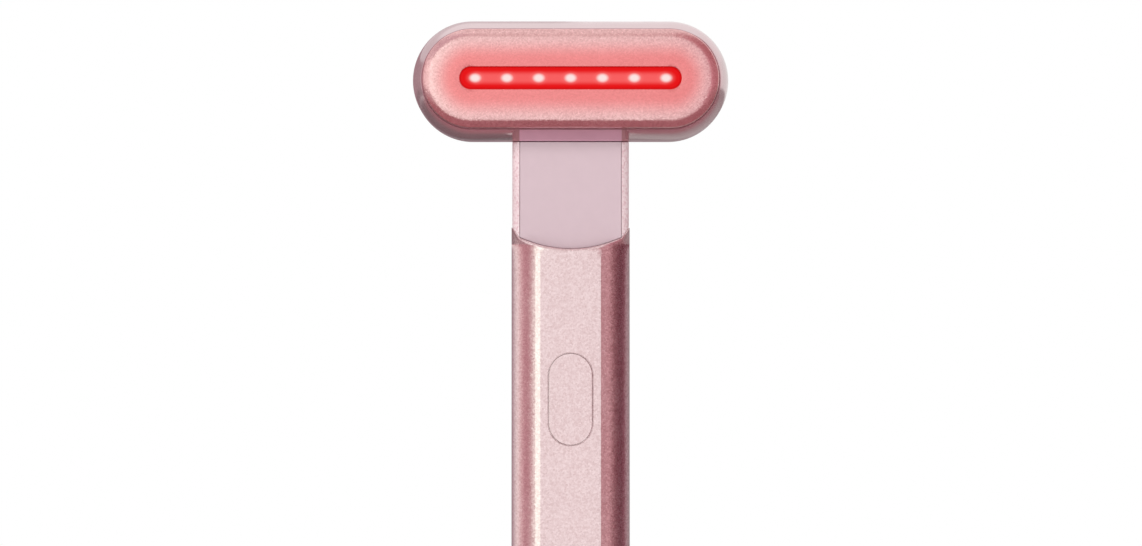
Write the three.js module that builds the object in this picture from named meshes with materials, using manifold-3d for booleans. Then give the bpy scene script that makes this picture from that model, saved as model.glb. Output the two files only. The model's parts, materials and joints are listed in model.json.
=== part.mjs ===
// Red light therapy wand: a metal handle with a push button, a neck that seats in the handle's
// scooped mouth, and a head that swivels on the neck. Millimetres, +Z up along the wand, and the
// front faces -Y. The origin is the middle of the end cap's underside, on the swivel axis.

import * as THREE from "three";
import { mergeVertices, toCreasedNormals } from "three/addons/utils/BufferGeometryUtils.js";
import Module from "manifold-3d";

// Handle sleeve
const handleWidth = 15.3;
const handleDepth = 11.6;
const handleWall = 1.05;
const sleeveLength = 98.6; // from the end cap to the lowest point of the scooped mouth
const flatBandWidth = 7.8; // flat band down the front, and the same down the back
const facetWidth = 0.65; // narrow facet that catches the light beside the flat band
const facetDrop = 0.15;
const shoulderDepth = 2.75; // front to back, of the round shoulder outside the facet
const shoulderSweep = Math.PI / 3; // the shoulder's share of its ellipse, from the side forward
const cavityCorner = 2.0;
const scoopRadius = 15.3; // seen from the front, across the cavity's width
const cheekRise = 3.1; // from the scoop's lowest point up to its outer corners

// Button, a capsule flush with the flat band
const slotWidth = 5.83;
const slotHeight = 12.0;
const buttonToNeck = 3.0; // from the button's guide up to the neck's plug
const buttonGap = 0.2; // the fine groove round the cap
const buttonEdge = 0.15;
const buttonTravel = 0.3;
const buttonSlack = 0.1; // between the cap's flange and the inside of the sleeve
const buttonFlangeWidth = 0.7;
const buttonFlangeThickness = 0.5;
const buttonBossRadius = 1.5;
const buttonBossLength = 0.8;
const guideWall = 0.8;
const guideDepth = 1.0;

// End cap and its screws
const capThickness = 1.8;
const capChamfer = 0.35;
const plugHeight = 4.0;
const plugWall = 1.2;
const plugGap = 0.1;
const sealHeight = 1.0;
const sealDepth = 0.5;
const sealRise = 1.2; // from the cap's flange up to the seal
const screwInsetX = 2.4; // screw axis from the cavity's side wall
const screwInsetY = 1.25; // screw axis from the cavity's rear wall
const screwShankRadius = 0.6;
const screwHeadRadius = 1.0;
const screwHeadHeight = 0.7;
const screwSocketRadius = 0.45;
const screwSocketDepth = 0.4;
const screwBite = 3.0; // length of screw in the piece that it pulls up
const screwSink = 0.3; // from the cap's underside up to the screw heads
const columnRadius = 1.4;

// Charging socket
const socketWidth = 8.94;
const socketHeight = 3.26;
const socketLength = 7.3;
const socketWall = 0.3;
const socketSink = 0.3; // mouth above the cap's underside
const portGap = 0.12;
const tongueWidth = 6.7;
const tongueThickness = 0.7;
const tongueSink = 0.9; // tongue's end above the socket's mouth
const tongueBase = 1.6;

// Chassis, battery and boards
const chassisGap = 0.15;
const chassisWall = 0.9;
const bulkheadThickness = 1.5;
const bossLength = 5.0;
const boardThickness = 0.8;
const boardInset = 0.35; // board's edge inside the chassis rail's outer face
const boardCorner = 0.6;
const batteryLength = 42.0;
const batteryThickness = 5.0;
const batteryCorner = 1.2;
const batteryGap = 0.5;
const padThickness = 0.3;
const padInset = 1.5; // pad's edge inside the battery's
const stackGap = 1.0; // along the handle, between boards, battery and bosses
const chargeBoardGap = 0.4; // between the board's edges and the plug's walls
const chargeBoardRise = 0.4; // board's lower edge above the cap's flange
const chargeBoardLength = 6.6;
const switchSize = 4.0;
const switchHeight = 1.6;
const stemRadius = 0.85;
const stemProud = 0.5;
const stemDepth = 0.6; // length of stem inside the switch at rest
const chipSize = 3.0;
const chipHeight = 0.9;
const chipDropShare = 0.35; // of the way from the switch down to the board's lower end
const chargeChipSize = 2.0;
const chargeChipHeight = 0.7;
const connectorWidth = 4.0;
const connectorDepth = 1.9;
const connectorLength = 3.5;
const connectorOverhang = 0.3; // connector's top above the board's

// Neck
const neckLength = 13.8; // from the scoop's lowest point to the swivel's parting line
const neckStep = 0.1; // each side of the neck inside the handle's width
const neckCorner = 1.5;
const neckInsert = 9.0; // depth of the neck's plug below the scoop's lowest point
const neckFit = 0.1;
const panelSink = 0.15; // panel's face behind the rails'
const panelThickness = 0.6;
const panelGap = 0.05;
const tongueDrop = 2.0; // panel's tongue below the scoop's lowest point
const chamberGap = 0.15; // round the retaining clip
const roofThickness = 3.4;

// Swivel
const swivelGap = 0.2; // parting line between neck and collar
const runningGap = 0.08;
const axialGap = 0.05;
const spigotRadius = 2.0;
const spigotBoreRadius = 1.2;
const spigotHeadReach = 0.35;
const spigotHeadHeight = 0.8;
const spigotEnd = 0.5; // spigot's end below the retaining clip
const keyDepth = 0.3; // flat on the spigot that turns the stop ring
const stopRingWall = 0.5;
const stopReach = 1.3; // stop lug beyond the spigot
const stopWidth = 1.2;
const stopHeight = 1.0;
const washerReach = 0.6;
const washerThickness = 0.3;
const clipReach = 0.7;
const clipThickness = 0.5;
const clipGrooveDepth = 0.4;

// Head
const headWidth = 41.0;
const headHeight = 15.45;
const plateReach = 6.8; // from the swivel axis forward to the contact plate's face
const housingDepth = 9.5;
const housingWall = 1.5;
const ringWidth = 1.22; // the housing outside the plate, seen from the front
const frontRoundDepth = 3.0;
const backRoundDepth = 2.5;
const backRoundWidth = 2.6;
const landThickness = 1.0; // rim that the plate's gasket seats on
const landWidth = 1.2;
const landTaper = 0.75;
const collarDrop = 0.225; // collar's underside below the housing's
const collarSink = 1.0; // collar's top above the housing's underside
const collarGap = 0.05;
const collarBossWidth = 8.4;
const collarBossDepth = 5.2;
const collarBossCorner = 1.0;

// Contact plate, window and light board
const plateThickness = 1.9;
const plateBevelWidth = 0.9;
const plateBevelDepth = 1.2;
const gasketThickness = 0.3;
const gasketWidth = 0.9;
const gasketInset = 0.15;
const windowInset = 6.2; // window's ends inside the head's
const windowHeight = 2.9;
const windowSink = 0.15;
const windowLip = 0.45; // rear flange that holds the window in the plate
const windowLipThickness = 0.5;
const windowEdge = 0.12;
const windowGap = 0.05;
const filmThickness = 0.2;
const filmGap = 0.05;
const filmInset = 0.55; // film's edge inside the gasket's
const lightBoardGap = 0.3;
const ledCount = 7;
const ledInset = 2.0; // end LEDs' centres inside the window's ends
const ledWidth = 1.6;
const ledHeight = 1.2;
const ledThickness = 0.75;
const ledEdge = 0.15;
const motorMargin = 1.05; // motor's rim inside the flat of the housing's back
const motorThickness = 2.7;
const motorOffset = 8.0; // from the swivel axis to the motor's
const leadsRadius = 0.9;
const leadsRise = 1.25; // from where the leads bend forward up to their end

// Shared clearances and facets
const seatGap = 0.05;
const overrun = 1.0; // cutters run past the faces that they cut
const arcSteps = 4;
const ringSteps = 32;
const smallRingSteps = 20;
const leadsSides = 8;
const leadsSteps = 22;
const weldDistance = 1e-4;
const creaseAngle = 0.6;

// Places worked out from the sizes above
const quarterTurn = Math.PI / 2;
const handleFront = -handleDepth / 2;
const handleBack = handleDepth / 2;
const cavityHalfWidth = handleWidth / 2 - handleWall;
const cavityHalfDepth = handleDepth / 2 - handleWall;
const scoopLow = capThickness + sleeveLength;
const neckTop = scoopLow + neckLength;
const neckHalfDepth = cavityHalfDepth - neckFit;
const neckHalfWidth = handleWidth / 2 - neckStep;
const coreBottom = scoopLow - neckInsert;
const roofBottom = neckTop - roofThickness;
const chamberRadius = spigotRadius + clipReach + chamberGap;
const headCentre = neckTop + swivelGap + collarDrop + headHeight / 2;
const plugTop = capThickness + plugHeight;
const screwX = cavityHalfWidth - screwInsetX;
const screwY = cavityHalfDepth - screwInsetY;
const flangeFront = handleFront + handleWall + buttonSlack;
const stemFront = flangeFront + buttonFlangeThickness + buttonBossLength;
const boardFront = stemFront + stemProud + switchHeight;
const boardBack = boardFront + boardThickness;
const chassisBottom = plugTop + chassisGap;
const chassisTop = coreBottom - chassisGap;
const guideHalfHeight = slotHeight / 2 - buttonGap + buttonFlangeWidth + buttonSlack + guideWall;
const buttonHeight = coreBottom - buttonToNeck - guideHalfHeight; // centre of the button
const socketMouth = socketSink;
const socketTop = socketSink + socketLength;
const chargeBoardHalfWidth = cavityHalfWidth - plugGap - plugWall - chargeBoardGap;
const chargeBoardBottom = capThickness + chargeBoardRise;
const chargeBoardBack = -socketHeight / 2 - seatGap;
const chargeBoardFront = chargeBoardBack - boardThickness;
const chargeChipMiddle = chargeBoardBottom + chargeBoardLength / 2;
const chargeChipBack = chargeBoardFront - seatGap;
const chargeChipFront = chargeChipBack - chargeChipHeight;
const batteryBottom = chassisBottom + bossLength + stackGap;
const batteryTop = batteryBottom + batteryLength;
const mainBoardBottom = batteryTop + stackGap;
const mainBoardTop = chassisTop - stackGap;

const wasm = await Module();
wasm.setup();

// Solids

// A closed three.js geometry as a solid that can be joined and cut.
function solidOf(geometry) {
  const bare = new THREE.BufferGeometry();
  bare.setAttribute("position", geometry.getAttribute("position"));
  bare.setIndex(geometry.getIndex());
  const welded = mergeVertices(bare, weldDistance);
  const corners = welded.getIndex().array;
  const triVerts = [];
  for (let i = 0; i < corners.length; i += 3) {
    const [a, b, c] = corners.slice(i, i + 3);
    if (a !== b && b !== c && c !== a) triVerts.push(a, b, c);
  }
  const mesh = new wasm.Mesh({
    numProp: 3,
    vertProperties: welded.getAttribute("position").array,
    triVerts: new Uint32Array(triVerts),
  });
  return new wasm.Manifold(mesh);
}

// A shape drawn from above, raised from bottom to top.
function alongZ(shape, bottom, top, x = 0, y = 0) {
  const options = { depth: top - bottom, bevelEnabled: false, curveSegments: arcSteps };
  return solidOf(new THREE.ExtrudeGeometry(shape, options).translate(x, y, bottom));
}

// A shape drawn from the front, its own y standing for height, from front to back.
function alongY(shape, front, back, x = 0, z = 0) {
  const options = { depth: back - front, bevelEnabled: false, curveSegments: arcSteps };
  const geometry = new THREE.ExtrudeGeometry(shape, options).rotateX(quarterTurn);
  return solidOf(geometry.translate(x, back, z));
}

// A shape drawn from the side, its own x standing for depth and its y for height.
function alongX(shape, left, right) {
  const options = { depth: right - left, bevelEnabled: false, curveSegments: arcSteps };
  const turn = new THREE.Matrix4().makeBasis(
    new THREE.Vector3(0, 1, 0),
    new THREE.Vector3(0, 0, 1),
    new THREE.Vector3(1, 0, 0),
  );
  return solidOf(new THREE.ExtrudeGeometry(shape, options).applyMatrix4(turn).translate(left, 0, 0));
}

// A profile of radius and height, turned about an upright axis.
function turned(profile, steps = smallRingSteps) {
  const points = profile.map(([radius, height]) => new THREE.Vector2(radius, height));
  return solidOf(new THREE.LatheGeometry(points, steps).rotateX(quarterTurn));
}

function cylinder(radius, bottom, top, x = 0, y = 0, steps = smallRingSteps) {
  const geometry = new THREE.CylinderGeometry(radius, radius, top - bottom, steps);
  return solidOf(geometry.rotateX(quarterTurn).translate(x, y, (bottom + top) / 2));
}

// The head's stadium forms: a profile of radius and depth, front to back, turned about each end
// of a level line and carried straight between the two ends.
function stadium(profile, halfSpan) {
  const points = profile.map(([radius, depth]) => new THREE.Vector2(radius, depth));
  const upper = profile.map(([radius, depth]) => new THREE.Vector2(depth, radius));
  const lower = profile.map(([radius, depth]) => new THREE.Vector2(depth, -radius)).reverse();
  const middle = alongX(new THREE.Shape([...upper, ...lower]), -halfSpan, halfSpan);
  const end = (x) => solidOf(new THREE.LatheGeometry(points, ringSteps).translate(x, 0, 0));
  return middle.add(end(-halfSpan)).add(end(halfSpan));
}

function flatStadium(radius, halfSpan, front, back) {
  return stadium([[0, front], [radius, front], [radius, back], [0, back]], halfSpan);
}

// Outlines

function roundedRectangle(halfX, halfY, corner) {
  const x = halfX - corner;
  const y = halfY - corner;
  const shape = new THREE.Shape();
  shape.absarc(x, y, corner, 0, quarterTurn);
  shape.absarc(-x, y, corner, quarterTurn, 2 * quarterTurn);
  shape.absarc(-x, -y, corner, 2 * quarterTurn, 3 * quarterTurn);
  shape.absarc(x, -y, corner, 3 * quarterTurn, 4 * quarterTurn);
  return shape;
}

function capsule(halfX, halfY) {
  return roundedRectangle(halfX, halfY, Math.min(halfX, halfY));
}

function rectangle(halfX, bottom, top) {
  const shape = new THREE.Shape();
  shape.moveTo(-halfX, bottom);
  shape.lineTo(halfX, bottom);
  shape.lineTo(halfX, top);
  shape.lineTo(-halfX, top);
  return shape;
}

// Across the handle: flat bands front and back, a facet each side of them and round shoulders,
// each the part of an ellipse that starts upright at the side and ends at the facet's slope.
function handleOutline() {
  const reach = (handleWidth - flatBandWidth) / 2 - facetWidth;
  const radiusX = reach / (1 - Math.cos(shoulderSweep));
  const radiusY = shoulderDepth / Math.sin(shoulderSweep);
  const x = handleWidth / 2 - radiusX;
  const y = handleDepth / 2 - facetDrop - shoulderDepth;
  const shape = new THREE.Shape();
  const shoulder = (side, end, from) => {
    shape.absellipse(side * x, end * y, radiusX, radiusY, from, from + shoulderSweep, false, 0);
  };
  shoulder(1, 1, 0);
  shape.lineTo(flatBandWidth / 2, handleBack);
  shape.lineTo(-flatBandWidth / 2, handleBack);
  shoulder(-1, 1, 2 * quarterTurn - shoulderSweep);
  shoulder(-1, -1, 2 * quarterTurn);
  shape.lineTo(-flatBandWidth / 2, handleFront);
  shape.lineTo(flatBandWidth / 2, handleFront);
  shoulder(1, -1, 4 * quarterTurn - shoulderSweep);
  return shape;
}

// Across the sleeve's cavity, drawn in by a clearance or a wall.
function cavityOutline(inset) {
  return roundedRectangle(cavityHalfWidth - inset, cavityHalfDepth - inset, cavityCorner - inset);
}

function neckOutline(gap) {
  return roundedRectangle(neckHalfWidth + gap, neckHalfDepth + gap, neckCorner + gap);
}

// Seen from the front, the space over the mouth that the neck sits in: a round scoop across the
// cavity, then steep cheeks through the sleeve's side walls.
function aboveSeat(lift) {
  const bottom = scoopLow + lift;
  const outer = handleWidth / 2 + overrun;
  const arcAngle = Math.asin(cavityHalfWidth / scoopRadius);
  const arcRise = scoopRadius * (1 - Math.cos(arcAngle));
  const cheekSlope = (cheekRise - arcRise) / handleWall;
  const outerRise = cheekRise + cheekSlope * overrun;
  const top = neckTop + overrun;
  const shape = new THREE.Shape();
  shape.absarc(0, bottom + scoopRadius, scoopRadius, -quarterTurn - arcAngle, -quarterTurn + arcAngle);
  shape.lineTo(outer, bottom + outerRise);
  shape.lineTo(outer, top);
  shape.lineTo(-outer, top);
  shape.lineTo(-outer, bottom + outerRise);
  return shape;
}

// Handle

function handleSleeve() {
  const top = scoopLow + cheekRise + overrun;
  const shell = alongZ(handleOutline(), capThickness, top);
  const cavity = alongZ(cavityOutline(0), capThickness - overrun, top + overrun);
  const mouth = alongY(aboveSeat(0), handleFront - overrun, handleBack + overrun);
  const slotBack = handleFront + handleWall + overrun;
  const slotShape = capsule(slotWidth / 2, slotHeight / 2);
  const slot = alongY(slotShape, handleFront - overrun, slotBack, 0, buttonHeight);
  return shell.subtract(cavity).subtract(mouth).subtract(slot);
}

// One upright column on each screw axis, kept inside an outline.
function screwColumns(outline, bottom, top) {
  const columns = cylinder(columnRadius, bottom, top, screwX, screwY)
    .add(cylinder(columnRadius, bottom, top, -screwX, screwY));
  return columns.intersect(alongZ(outline, bottom, top));
}

function screwHoles(radius, bottom, top) {
  return cylinder(radius, bottom, top, screwX, screwY)
    .add(cylinder(radius, bottom, top, -screwX, screwY));
}

function sealRing(inner, outer, bottom, top) {
  return alongZ(cavityOutline(outer), bottom, top)
    .subtract(alongZ(cavityOutline(inner), bottom - overrun, top + overrun));
}

function endCap() {
  const options = {
    depth: capThickness - 2 * capChamfer,
    bevelThickness: capChamfer,
    bevelSize: capChamfer,
    bevelOffset: -capChamfer,
    bevelSegments: 2,
    curveSegments: arcSteps,
  };
  const disc = new THREE.ExtrudeGeometry(handleOutline(), options).translate(0, 0, capChamfer);
  const sunk = capThickness / 2;
  const plug = alongZ(cavityOutline(plugGap), sunk, plugTop)
    .subtract(alongZ(cavityOutline(plugGap + plugWall), capThickness, plugTop + overrun))
    .add(screwColumns(cavityOutline(plugGap), sunk, plugTop));
  const sealBottom = capThickness + sealRise;
  const pocketTop = screwSink + screwHeadHeight + seatGap;
  return solidOf(disc)
    .add(plug)
    .subtract(socketRoom(-overrun, plugTop + overrun))
    .subtract(chargeBoardRoom())
    .subtract(sealRing(plugGap + sealDepth, -overrun, sealBottom, sealBottom + sealHeight))
    .subtract(screwHoles(screwShankRadius + seatGap, -overrun, plugTop + overrun))
    .subtract(screwHoles(screwHeadRadius + seatGap, -overrun, pocketTop));
}

function endSeal() {
  const bottom = capThickness + sealRise + seatGap;
  const top = bottom + sealHeight - 2 * seatGap;
  return sealRing(plugGap + sealDepth - seatGap, seatGap, bottom, top);
}

// A screw that stands on its head at the origin, with a hexagonal socket underneath.
function screw(length) {
  const profile = [
    [0, 0],
    [screwHeadRadius, 0],
    [screwHeadRadius, screwHeadHeight],
    [screwShankRadius, screwHeadHeight],
    [screwShankRadius, length - screwShankRadius],
    [screwShankRadius / 2, length],
    [0, length],
  ];
  const socket = cylinder(screwSocketRadius, -overrun, screwSocketDepth, 0, 0, 6);
  return turned(profile, smallRingSteps).subtract(socket);
}

function chargingSocket() {
  const outer = capsule(socketWidth / 2, socketHeight / 2);
  const inner = capsule(socketWidth / 2 - socketWall, socketHeight / 2 - socketWall);
  return alongZ(outer, socketMouth, socketTop)
    .subtract(alongZ(inner, socketMouth - overrun, socketTop + overrun));
}

// The charging socket's outline with its clearance.
function socketRoom(bottom, top) {
  return alongZ(capsule(socketWidth / 2 + portGap, socketHeight / 2 + portGap), bottom, top);
}

function socketTongue() {
  const inset = socketWall + seatGap;
  const base = capsule(socketWidth / 2 - inset, socketHeight / 2 - inset);
  const blade = capsule(tongueWidth / 2, tongueThickness / 2);
  const bladeBottom = socketMouth + tongueSink;
  return alongZ(base, socketTop - tongueBase, socketTop).add(alongZ(blade, bladeBottom, socketTop));
}

function board(halfWidth, bottom, top, front) {
  const half = (top - bottom) / 2;
  const shape = roundedRectangle(halfWidth, half, boardCorner);
  return alongY(shape, front, front + boardThickness, 0, bottom + half);
}

function chargeBoard() {
  const top = chargeBoardBottom + chargeBoardLength;
  return board(chargeBoardHalfWidth, chargeBoardBottom, top, chargeBoardFront);
}

function chargeChip() {
  const half = chargeChipSize / 2;
  const shape = rectangle(half, chargeChipMiddle - half, chargeChipMiddle + half);
  return alongY(shape, chargeChipFront, chargeChipBack);
}

// Room in the end cap's plug for the charge board and its chip.
function chargeBoardRoom() {
  const top = plugTop + overrun;
  const chipHalf = chargeChipSize / 2 + seatGap;
  const boardRoom = rectangle(chargeBoardHalfWidth + seatGap, chargeBoardBottom - seatGap, top);
  const chipRoom = rectangle(chipHalf, chargeChipMiddle - chipHalf, top);
  return alongY(boardRoom, chargeBoardFront - seatGap, 0)
    .add(alongY(chipRoom, chargeChipFront - seatGap, 0));
}

// A half pipe that follows the cavity's rear, with screw bosses and a bulkhead at its upper end.
function chassis() {
  const outline = cavityOutline(chassisGap);
  const trough = cavityOutline(chassisGap + chassisWall);
  const bulkheadBottom = chassisTop - bulkheadThickness;
  const front = rectangle(handleWidth, chassisBottom - overrun, chassisTop + overrun);
  const hollow = alongZ(trough, chassisBottom - overrun, bulkheadBottom)
    .subtract(screwColumns(trough, chassisBottom - 2 * overrun, chassisBottom + bossLength));
  const notchHalfWidth = connectorWidth / 2 + chassisGap;
  const leadsNotch = rectangle(notchHalfWidth, bulkheadBottom - overrun, chassisTop + overrun);
  const notchBack = boardBack + connectorDepth + seatGap + chassisGap;
  const holeRadius = screwShankRadius + seatGap;
  const headWay = screwHoles(screwHeadRadius + seatGap, bulkheadBottom - bossLength, bulkheadBottom);
  const pilot = screwHoles(holeRadius, chassisBottom - overrun, chassisBottom + bossLength);
  const clear = screwHoles(holeRadius, bulkheadBottom - overrun, chassisTop + overrun);
  return alongZ(outline, chassisBottom, chassisTop)
    .subtract(hollow)
    .subtract(alongY(leadsNotch, handleFront, notchBack))
    .subtract(headWay)
    .subtract(socketRoom(chassisBottom - overrun, socketTop + seatGap))
    .subtract(pilot)
    .subtract(clear)
    .subtract(alongY(front, handleFront, boardBack + seatGap));
}

function batteryHalfWidth() {
  return cavityHalfWidth - chassisGap - chassisWall - batteryGap;
}

function padBack() {
  return cavityHalfDepth - chassisGap - chassisWall - seatGap;
}

function battery() {
  const middle = padBack() - padThickness - seatGap - batteryThickness / 2;
  const shape = roundedRectangle(batteryHalfWidth(), batteryThickness / 2, batteryCorner);
  return alongZ(shape, batteryBottom, batteryTop, 0, middle);
}

function batteryPad() {
  const halfWidth = batteryHalfWidth() - padInset;
  const shape = rectangle(halfWidth, batteryBottom + padInset, batteryTop - padInset);
  return alongY(shape, padBack() - padThickness, padBack());
}

function mainBoard() {
  const halfWidth = cavityHalfWidth - chassisGap - boardInset;
  return board(halfWidth, mainBoardBottom, mainBoardTop, boardFront);
}

function tactSwitch() {
  const body = rectangle(switchSize / 2, -switchSize / 2, switchSize / 2);
  const front = boardFront - switchHeight;
  const wellBack = front + stemDepth + buttonTravel + seatGap;
  const well = capsule(stemRadius + runningGap, stemRadius + runningGap);
  return alongY(body, front, boardFront - seatGap, 0, buttonHeight)
    .subtract(alongY(well, front - overrun, wellBack, 0, buttonHeight));
}

function driverChip() {
  const shape = rectangle(chipSize / 2, -chipSize / 2, chipSize / 2);
  const back = boardFront - seatGap;
  const middle = buttonHeight - chipDropShare * (buttonHeight - mainBoardBottom);
  return alongY(shape, back - chipHeight, back, 0, middle);
}

function leadConnector() {
  const top = mainBoardTop + connectorOverhang;
  const front = boardBack + seatGap;
  const block = rectangle(connectorWidth / 2, top - connectorLength, top);
  return alongY(block, front, front + connectorDepth);
}

function buttonGuide() {
  const innerX = slotWidth / 2 - buttonGap + buttonFlangeWidth + buttonSlack;
  const innerZ = guideHalfHeight - guideWall;
  const front = handleFront + handleWall + seatGap;
  const back = front + guideDepth;
  const outline = capsule(innerX + guideWall, guideHalfHeight);
  const bottom = buttonHeight - guideHalfHeight - overrun;
  const top = buttonHeight + guideHalfHeight + overrun;
  return alongY(outline, front, back, 0, buttonHeight)
    .intersect(alongZ(cavityOutline(seatGap / 2), bottom, top))
    .subtract(alongY(capsule(innerX, innerZ), front - overrun, back + overrun, 0, buttonHeight));
}

// Button

function buttonCap() {
  const halfWidth = slotWidth / 2 - buttonGap;
  const halfHeight = slotHeight / 2 - buttonGap;
  const flangeBack = flangeFront + buttonFlangeThickness;
  const options = {
    depth: flangeBack - handleFront - 2 * buttonEdge,
    bevelThickness: buttonEdge,
    bevelSize: buttonEdge,
    bevelOffset: -buttonEdge,
    bevelSegments: 2,
    curveSegments: arcSteps,
  };
  const face = new THREE.ExtrudeGeometry(capsule(halfWidth, halfHeight), options)
    .rotateX(quarterTurn)
    .translate(0, flangeBack - buttonEdge, buttonHeight);
  const flange = capsule(halfWidth + buttonFlangeWidth, halfHeight + buttonFlangeWidth);
  const boss = capsule(buttonBossRadius, buttonBossRadius);
  return solidOf(face)
    .add(alongY(flange, flangeFront, flangeBack, 0, buttonHeight))
    .add(alongY(boss, flangeFront, stemFront - seatGap, 0, buttonHeight));
}

function switchStem() {
  const shape = capsule(stemRadius, stemRadius);
  return alongY(shape, stemFront, stemFront + stemProud + stemDepth, 0, buttonHeight);
}

// Neck

// The panel as seen from the front: straight sides, the scoop's arc below, and a tongue that
// slips behind the sleeve's front wall. The gap makes it the recess that the panel lies in.
function panelSolid(gap, front, back) {
  const top = neckTop + (gap > 0 ? overrun : 0);
  const tongueHalf = cavityHalfWidth - cavityCorner - neckFit + gap;
  const face = rectangle(cavityHalfWidth - panelGap + gap, scoopLow - tongueDrop, top);
  const tongue = rectangle(tongueHalf, scoopLow - tongueDrop - gap, scoopLow + cheekRise);
  return alongY(face, front, back)
    .intersect(alongY(aboveSeat(seatGap - gap), front, back))
    .add(alongY(tongue, front, back));
}

function neckFrame() {
  const panelFront = panelSink - neckHalfDepth;
  const block = alongZ(neckOutline(0), scoopLow - overrun, neckTop)
    .intersect(alongY(aboveSeat(seatGap), handleFront, handleBack));
  const core = alongZ(cavityOutline(neckFit), coreBottom, scoopLow + cheekRise);
  const recessBack = panelFront + panelThickness + panelGap;
  const recess = panelSolid(panelGap, -neckHalfDepth - overrun, recessBack);
  const rearRecess = alongY(aboveSeat(seatGap), neckHalfDepth - panelSink, handleBack)
    .intersect(alongY(rectangle(cavityHalfWidth, scoopLow, neckTop + overrun), 0, handleBack));
  const stopTop = roofBottom + stopHeight + 2 * axialGap;
  const ringWay = (radius) => cylinder(radius, roofBottom - overrun, stopTop, 0, 0, ringSteps);
  const lugWay = ringWay(spigotRadius + stopReach + runningGap);
  const stopEnd = rectangle(handleWidth, roofBottom - 2 * overrun, neckTop);
  const screwTop = coreBottom + screwBite + stackGap;
  return block
    .add(core)
    .subtract(recess)
    .subtract(rearRecess)
    .subtract(cylinder(chamberRadius, coreBottom - overrun, roofBottom, 0, 0, ringSteps))
    .subtract(ringWay(spigotRadius + stopRingWall + runningGap))
    .subtract(lugWay.subtract(alongY(stopEnd, handleFront, -stopWidth / 2 - runningGap)))
    .subtract(cylinder(spigotRadius + runningGap, roofBottom, neckTop + overrun, 0, 0, ringSteps))
    .subtract(screwHoles(screwShankRadius + seatGap, coreBottom - overrun, screwTop));
}

function neckPanel() {
  const front = panelSink - neckHalfDepth;
  return panelSolid(0, front, front + panelThickness);
}

// Swivel, drawn in the head's own frame, whose origin is the head's centre on the swivel axis

const toHead = (height) => height - headCentre;
const housingBottom = -headHeight / 2;
const housingFloor = housingBottom + housingWall;
const collarTop = housingBottom + collarSink;
const spigotHeadBottom = housingFloor + seatGap;
const spigotHeadTop = spigotHeadBottom + spigotHeadHeight;
const spigotHeadRadius = spigotRadius + spigotHeadReach;
const stopBottom = toHead(roofBottom) + axialGap;
const washerTop = toHead(roofBottom) - axialGap;
const clipTop = washerTop - washerThickness - axialGap;
const spigotBottom = clipTop - clipThickness - spigotEnd;

function swivelCollar() {
  const bottom = housingBottom - collarDrop;
  const recess = rectangle(cavityHalfWidth, bottom - overrun, collarTop + overrun);
  const faceSink = neckHalfDepth - panelSink;
  const boss = roundedRectangle(collarBossWidth / 2, collarBossDepth / 2, collarBossCorner);
  return alongZ(neckOutline(0), bottom, collarTop)
    .subtract(alongY(recess, handleFront, -faceSink))
    .subtract(alongY(recess, faceSink, handleBack))
    .add(alongZ(boss, bottom, housingFloor))
    .subtract(cylinder(spigotRadius + seatGap, bottom - overrun, housingFloor + overrun, 0, 0, ringSteps));
}

function spigotKey(gap) {
  const flat = rectangle(spigotRadius, spigotBottom - overrun, stopBottom + stopHeight + gap);
  return alongY(flat, -spigotRadius - overrun, keyDepth - spigotRadius - gap);
}

function swivelSpigot() {
  const grooveRadius = spigotRadius - clipGrooveDepth;
  const profile = [
    [spigotBoreRadius, spigotBottom],
    [spigotRadius, spigotBottom],
    [spigotRadius, clipTop - clipThickness - axialGap],
    [grooveRadius, clipTop - clipThickness - axialGap],
    [grooveRadius, clipTop + axialGap],
    [spigotRadius, clipTop + axialGap],
    [spigotRadius, spigotHeadBottom],
    [spigotHeadRadius, spigotHeadBottom],
    [spigotHeadRadius, spigotHeadTop],
    [spigotBoreRadius, spigotHeadTop],
    [spigotBoreRadius, spigotBottom],
  ];
  return turned(profile, ringSteps).subtract(spigotKey(axialGap));
}

function stopRing() {
  const top = stopBottom + stopHeight;
  const lug = rectangle(stopWidth / 2, stopBottom, top);
  const shaft = cylinder(spigotRadius + seatGap, stopBottom - overrun, top + overrun, 0, 0, ringSteps)
    .subtract(spigotKey(seatGap));
  return cylinder(spigotRadius + stopRingWall, stopBottom, top, 0, 0, ringSteps)
    .add(alongY(lug, spigotRadius, spigotRadius + stopReach))
    .subtract(shaft);
}

function flatRing(inner, outer, bottom, top) {
  return cylinder(outer, bottom, top, 0, 0, ringSteps)
    .subtract(cylinder(inner, bottom - overrun, top + overrun, 0, 0, ringSteps));
}

function frictionWasher() {
  return flatRing(spigotRadius + seatGap, spigotRadius + washerReach, washerTop - washerThickness, washerTop);
}

// A clip that slides into the spigot's groove from the front, so it is open there.
function spigotClip() {
  const grooveRadius = spigotRadius - clipGrooveDepth + seatGap;
  const bottom = clipTop - clipThickness;
  const mouth = rectangle(grooveRadius, bottom - overrun, clipTop + overrun);
  return flatRing(grooveRadius, spigotRadius + clipReach, bottom, clipTop)
    .subtract(alongY(mouth, -spigotRadius - clipReach - overrun, 0));
}

// Head

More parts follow.
